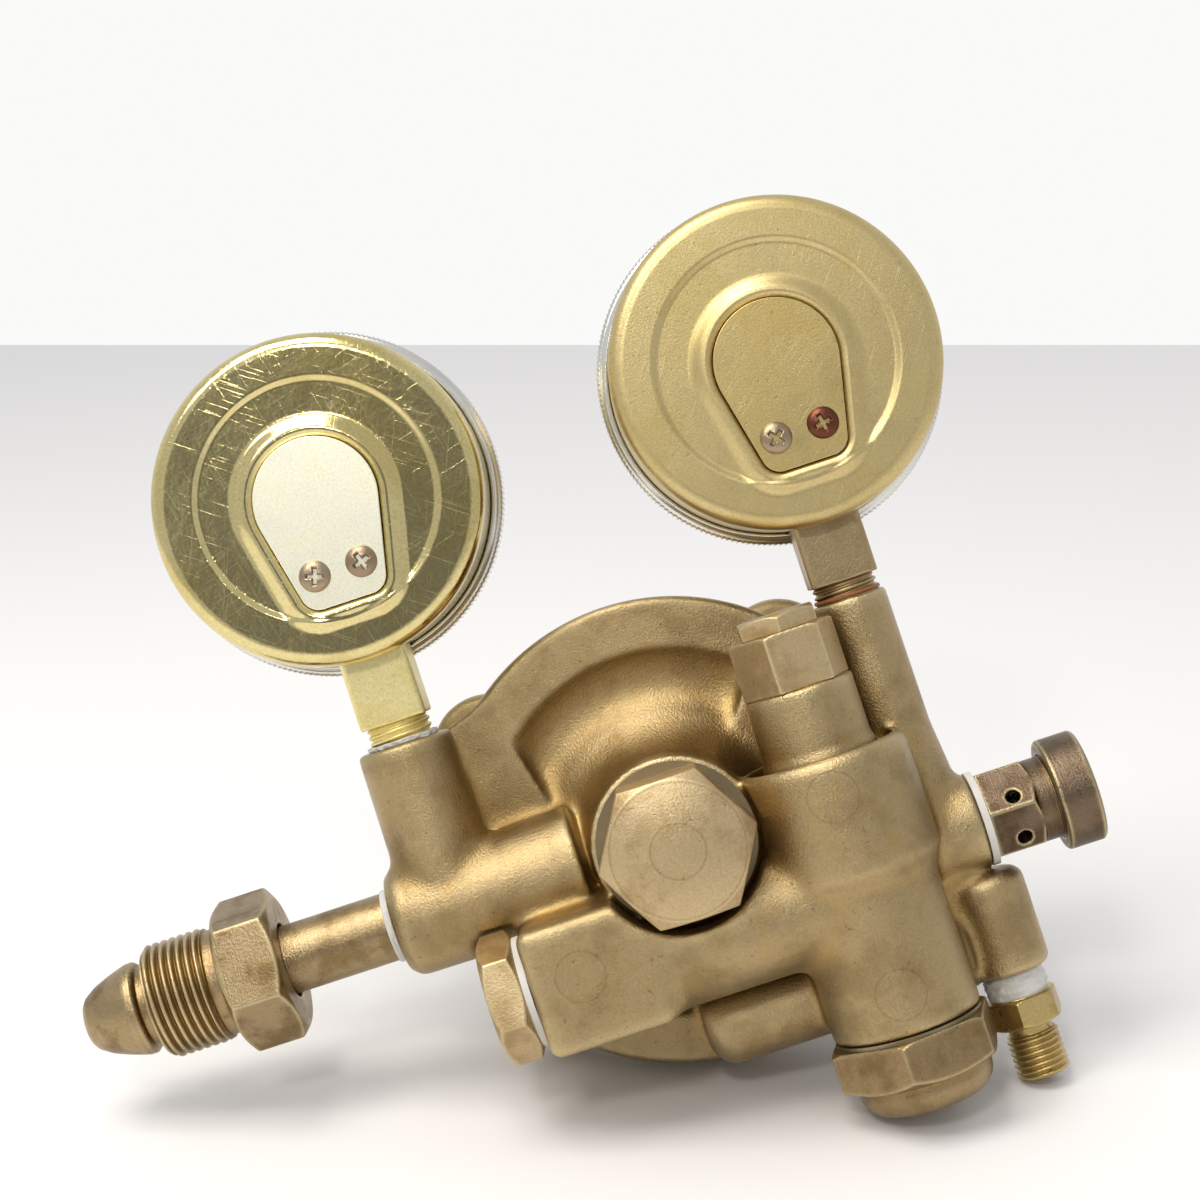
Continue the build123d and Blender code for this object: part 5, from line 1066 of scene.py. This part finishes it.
for height, share in ((0.55, 0.6), (2.6, 1.1)):
    long, short = CROSS_LENGTH / 2 * share, CROSS_WIDTH / 2 * share
    corner = [Vector((long, -short, height)), Vector((long, short, height)), Vector((short, short, height))]
    turns = [Matrix.Rotation(k * math.pi / 2, 3, "Z") for k in range(4)]
    rings.append([arms.verts.new(turn @ point * MM) for turn in turns for point in corner])
arms.faces.new(rings[0])
arms.faces.new(rings[1])
for k in range(12):
    arms.faces.new((rings[0][k - 1], rings[0][k], rings[1][k], rings[1][k - 1]))
bmesh.ops.recalc_face_normals(arms, faces=arms.faces)
cross = bpy.data.objects.new("cross", new_mesh("cross", arms))
scene.collection.objects.link(cross)
head = temporary(head, ("BOOLEAN", {"operation": "DIFFERENCE", "object": cross, "solver": "EXACT"}))
bpy.data.objects.remove(cross)
reach_x, reach_y, depth = np.abs(places(head) / MM).T
along, across = np.maximum(reach_x, reach_y), np.minimum(reach_x, reach_y)
in_cross = (along < CROSS_LENGTH / 2) & (across < CROSS_WIDTH / 2 + 0.02) & (depth > 0.3) & (depth < 0.7)
# This attribute marks the cross recess, where the screw steel gets its painted shade.
head.attributes.new("recess", "FLOAT", "POINT").data.foreach_set("value", in_cross.astype(float))
head_object = bpy.data.objects.new("screw_head", head)
scene.collection.objects.link(head_object)
print("screw head", len(head.polygons), "faces,", int(in_cross.sum()), "points in the cross")

# %% Screw tree
screw_tree, size = new_tree("screws_on_points", [("Head", "NodeSocketObject"), ("First Turn", FLOAT),
                                                 ("Next Turn", FLOAT), ("Material", MATERIAL)])
number = add(screw_tree, "GeometryNodeInputIndex")
more = add(screw_tree, MATH, {0: number, 1: size["Next Turn"], 2: size["First Turn"]},
           operation="MULTIPLY_ADD")
face_back = add(screw_tree, "FunctionNodeEulerToRotation", {0: (-math.pi / 2, 0, 0)})
spin = add(screw_tree, "FunctionNodeAxisAngleToRotation", {"Axis": (0, 0, 1), "Angle": more})
aimed = add(screw_tree, "FunctionNodeRotateRotation", {"Rotation": spin, "Rotate By": face_back})
shape = add(screw_tree, "GeometryNodeObjectInfo", {"Object": size["Head"]})
dots = add(screw_tree, "GeometryNodeMeshToPoints", {"Mesh": size["Geometry"]})
copies = add(screw_tree, "GeometryNodeInstanceOnPoints",
             {"Points": dots, "Instance": shape.outputs["Geometry"], "Rotation": aimed})
close_tree(screw_tree, copies, size["Material"])

# %% Screws
SCREW_SEAT = GAUGE_BACK + 0.2
for name, centre, rust, turns in (
    ("inlet_gauge", inlet_case, (0.25, 0.1), (0.35, 0.9)),
    ("delivery_gauge", delivery_case, (1.0, 0.15), (0.2, 0.5)),
):
    dots = bpy.data.meshes.new("screw_places")
    dots.from_pydata([(centre.x + side * 5 * MM, SCREW_SEAT * MM, centre.z - 15 * MM) for side in (-1, 1)],
                     [], [])
    dots.attributes.new("rust", "FLOAT", "POINT").data.foreach_set("value", rust)
    mesh = run_tree(screw_tree, None, {"Head": head_object, "First Turn": turns[0], "Next Turn": turns[1]},
                    dots)
    screws = piece(f"{name}_crossed_screws", mesh, f"{name}_case_screws")
    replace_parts(screws, f"{name}_case_screws")
    print(screws.name, len(mesh.polygons), "faces")
bpy.data.objects.remove(head_object)

# %% [markdown]
# ## Tape and sealant
# Soft white tape is wound on the outlet's pipe thread, and its edge squeezes out in folds. A rough
# ring of it also shows where the nipple goes into the arm, and a few shreds at the inlet gauge's
# thread. The delivery gauge's thread has a brown bead of old sealant. These are rings whose radius
# and height wander with smooth noise.

# %% Ragged rings
def ragged(inner, outer, height, origin, direction, lump, seed, columns=160, rows=8, folds=0):
    """A soft ring that wanders in radius and height; sizes in mm."""
    work = bmesh.new()
    loops = []
    for row in range(2 * rows):
        outside = row < rows
        share = (row if outside else 2 * rows - 1 - row) / (rows - 1)
        loop = []
        for k in range(columns):
            a = 2 * math.pi * k / columns
            point = Vector((math.cos(a) * 3, math.sin(a) * 3, share * height * 0.9 + seed * 17.0))
            wander = noise.noise(point) + 0.5 * noise.noise(point * 3.1)
            fold = folds * 0.12 * math.sin(share * 16 + 2 * a + wander * 3)
            belly = math.sin(math.pi * min(max(share, 0.0), 1.0)) ** 0.5
            thick = (outer - inner - 0.1) * (0.72 + 0.28 * belly)
            r = inner + 0.1 + thick + (lump * wander + fold) * belly if outside else inner
            z = height * share + lump * 0.7 * noise.noise(point * 1.7 + Vector((5, 0, 0))) * (0.3 + belly)
            loop.append(work.verts.new((r * MM * math.cos(a), r * MM * math.sin(a), z * MM)))
        loops.append(loop)
    for first, second in zip(loops, loops[1:] + loops[:1]):
        for k in range(columns):
            work.faces.new((first[k - 1], first[k], second[k], second[k - 1]))
    bmesh.ops.recalc_face_normals(work, faces=work.faces)
    return turned_to(new_mesh("ragged_ring", work), origin, direction)


tape_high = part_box("outlet_thread_tape")[1]
tape_mesh = ragged(5.2, 6.5, 5.4, (outlet_axis.x, 0, tape_high.z), (0, 0, -1), 0.3, 1, folds=1, rows=16)
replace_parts(piece("wound_outlet_tape", tape_mesh, "outlet_thread_tape"), "outlet_thread_tape")
ring_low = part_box("nipple_seal_ring")[0]
seal_mesh = ragged(7.35, 7.85, 1.5, (ring_low.x, 0, 0), (1, 0, 0), 0.3, 2, folds=1)
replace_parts(piece("squeezed_nipple_tape", seal_mesh, "nipple_seal_ring", "thread_tape"), "nipple_seal_ring")
shreds = ragged(6.6, 7.7, 1.0, (inlet_case.x, 0, GAUGE_SEAT), (0, 0, 1), 0.55, 3, folds=1)
piece("inlet_gauge_tape_shreds", shreds, "inlet_gauge_socket", "thread_tape")
finishes["sealant"] = plain("old_pipe_sealant", "#a5622a", 0.0, 0.35, second="#7d4a22")
bead_mesh = ragged(6.5, 7.15, 0.8, (delivery_case.x, 0, GAUGE_SEAT), (0, 0, 1), 0.15, 4)
piece("delivery_gauge_sealant", bead_mesh, "delivery_gauge_socket", "sealant")
print("tape and sealant done")

# %% [markdown]
# ## Dials
# The gauge faces look to the front: plain numbers on an even scale, with a long tick at each number.
# A tree sets the ticks on an arc, and the numbers are text turned to mesh.

# %% Tick tree
tick_tree, size = new_tree("dial_ticks", [
    ("Count", INTEGER), ("Radius", FLOAT), ("Length", FLOAT), ("Width", FLOAT), ("Start", FLOAT),
    ("Sweep", FLOAT),
    ("Material", MATERIAL),
])
spots = add(tick_tree, "GeometryNodePoints", {"Count": size["Count"]})
number = add(tick_tree, "GeometryNodeInputIndex")
gaps = add(tick_tree, MATH, {0: size["Count"], 1: 1.0}, operation="SUBTRACT")
share = add(tick_tree, MATH, {0: number, 1: gaps}, operation="DIVIDE")
angle = add(tick_tree, MATH, {0: share, 1: size["Sweep"], 2: size["Start"]}, operation="MULTIPLY_ADD")
cosine = add(tick_tree, MATH, {0: angle}, operation="COSINE")
sine = add(tick_tree, MATH, {0: angle}, operation="SINE")
x = add(tick_tree, MATH, {0: cosine, 1: size["Radius"]}, operation="MULTIPLY")
y = add(tick_tree, MATH, {0: sine, 1: size["Radius"]}, operation="MULTIPLY")
arc = add(tick_tree, "GeometryNodeSetPosition", {
    "Geometry": spots, "Position": add(tick_tree, "ShaderNodeCombineXYZ", {0: x, 1: y})})
block = add(tick_tree, "ShaderNodeCombineXYZ", {0: size["Length"], 1: size["Width"], 2: 0.00006})
bar = add(tick_tree, "GeometryNodeMeshCube", {"Size": block})
turned = add(tick_tree, "ShaderNodeCombineXYZ", {2: angle})
bars = add(tick_tree, "GeometryNodeInstanceOnPoints", {"Points": arc, "Instance": bar, "Rotation": turned})
close_tree(tick_tree, bars, size["Material"])

# %% Dial marks
START, SWEEP = math.radians(225), -math.radians(270)
INK = 0.00003  # the thickness of the printed marks, in metres


def numbers_mesh(labels, radius, height):
    """Plain numbers round an arc, flat in the XY plane; sizes in mm."""
    shapes = []
    for k, label in enumerate(labels):
        text = bpy.data.curves.new("number", "FONT")
        text.body, text.size, text.extrude = label, height * MM, INK
        text.align_x, text.align_y = "CENTER", "CENTER"
        thing = bpy.data.objects.new("number", text)
        scene.collection.objects.link(thing)
        shape = evaluated(thing)
        bpy.data.objects.remove(thing)
        a = START + SWEEP * k / (len(labels) - 1)
        shape.transform(Matrix.Translation((radius * MM * math.cos(a), radius * MM * math.sin(a), 0)))
        shapes.append(shape)
    return joined(*shapes)


for name, centre, labels in (
    ("inlet_gauge", inlet_case, ["0", "1000", "2000", "3000", "4000"]),
    ("delivery_gauge", delivery_case, ["0", "50", "100", "150", "200"]),
):
    face_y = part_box(f"{name}_dial")[0].y - INK
    long_ticks = {"Count": 9, "Radius": 27 * MM, "Length": 4 * MM, "Width": 0.6 * MM, "Start": START,
                  "Sweep": SWEEP}
    short_ticks = {"Count": 41, "Radius": 28 * MM, "Length": 2 * MM, "Width": 0.3 * MM, "Start": START,
                   "Sweep": SWEEP}
    marks = joined(run_tree(tick_tree, None, long_ticks), run_tree(tick_tree, None, short_ticks),
                   numbers_mesh(labels, 20.5, 4.2))
    marks = turned_to(marks, (centre.x, face_y, centre.z), (0, -1, 0))
    scale_marks = piece(f"{name}_scale", marks, f"{name}_dial", "pointer_black")
    scale_marks.data.shade_flat()
print("dials marked")
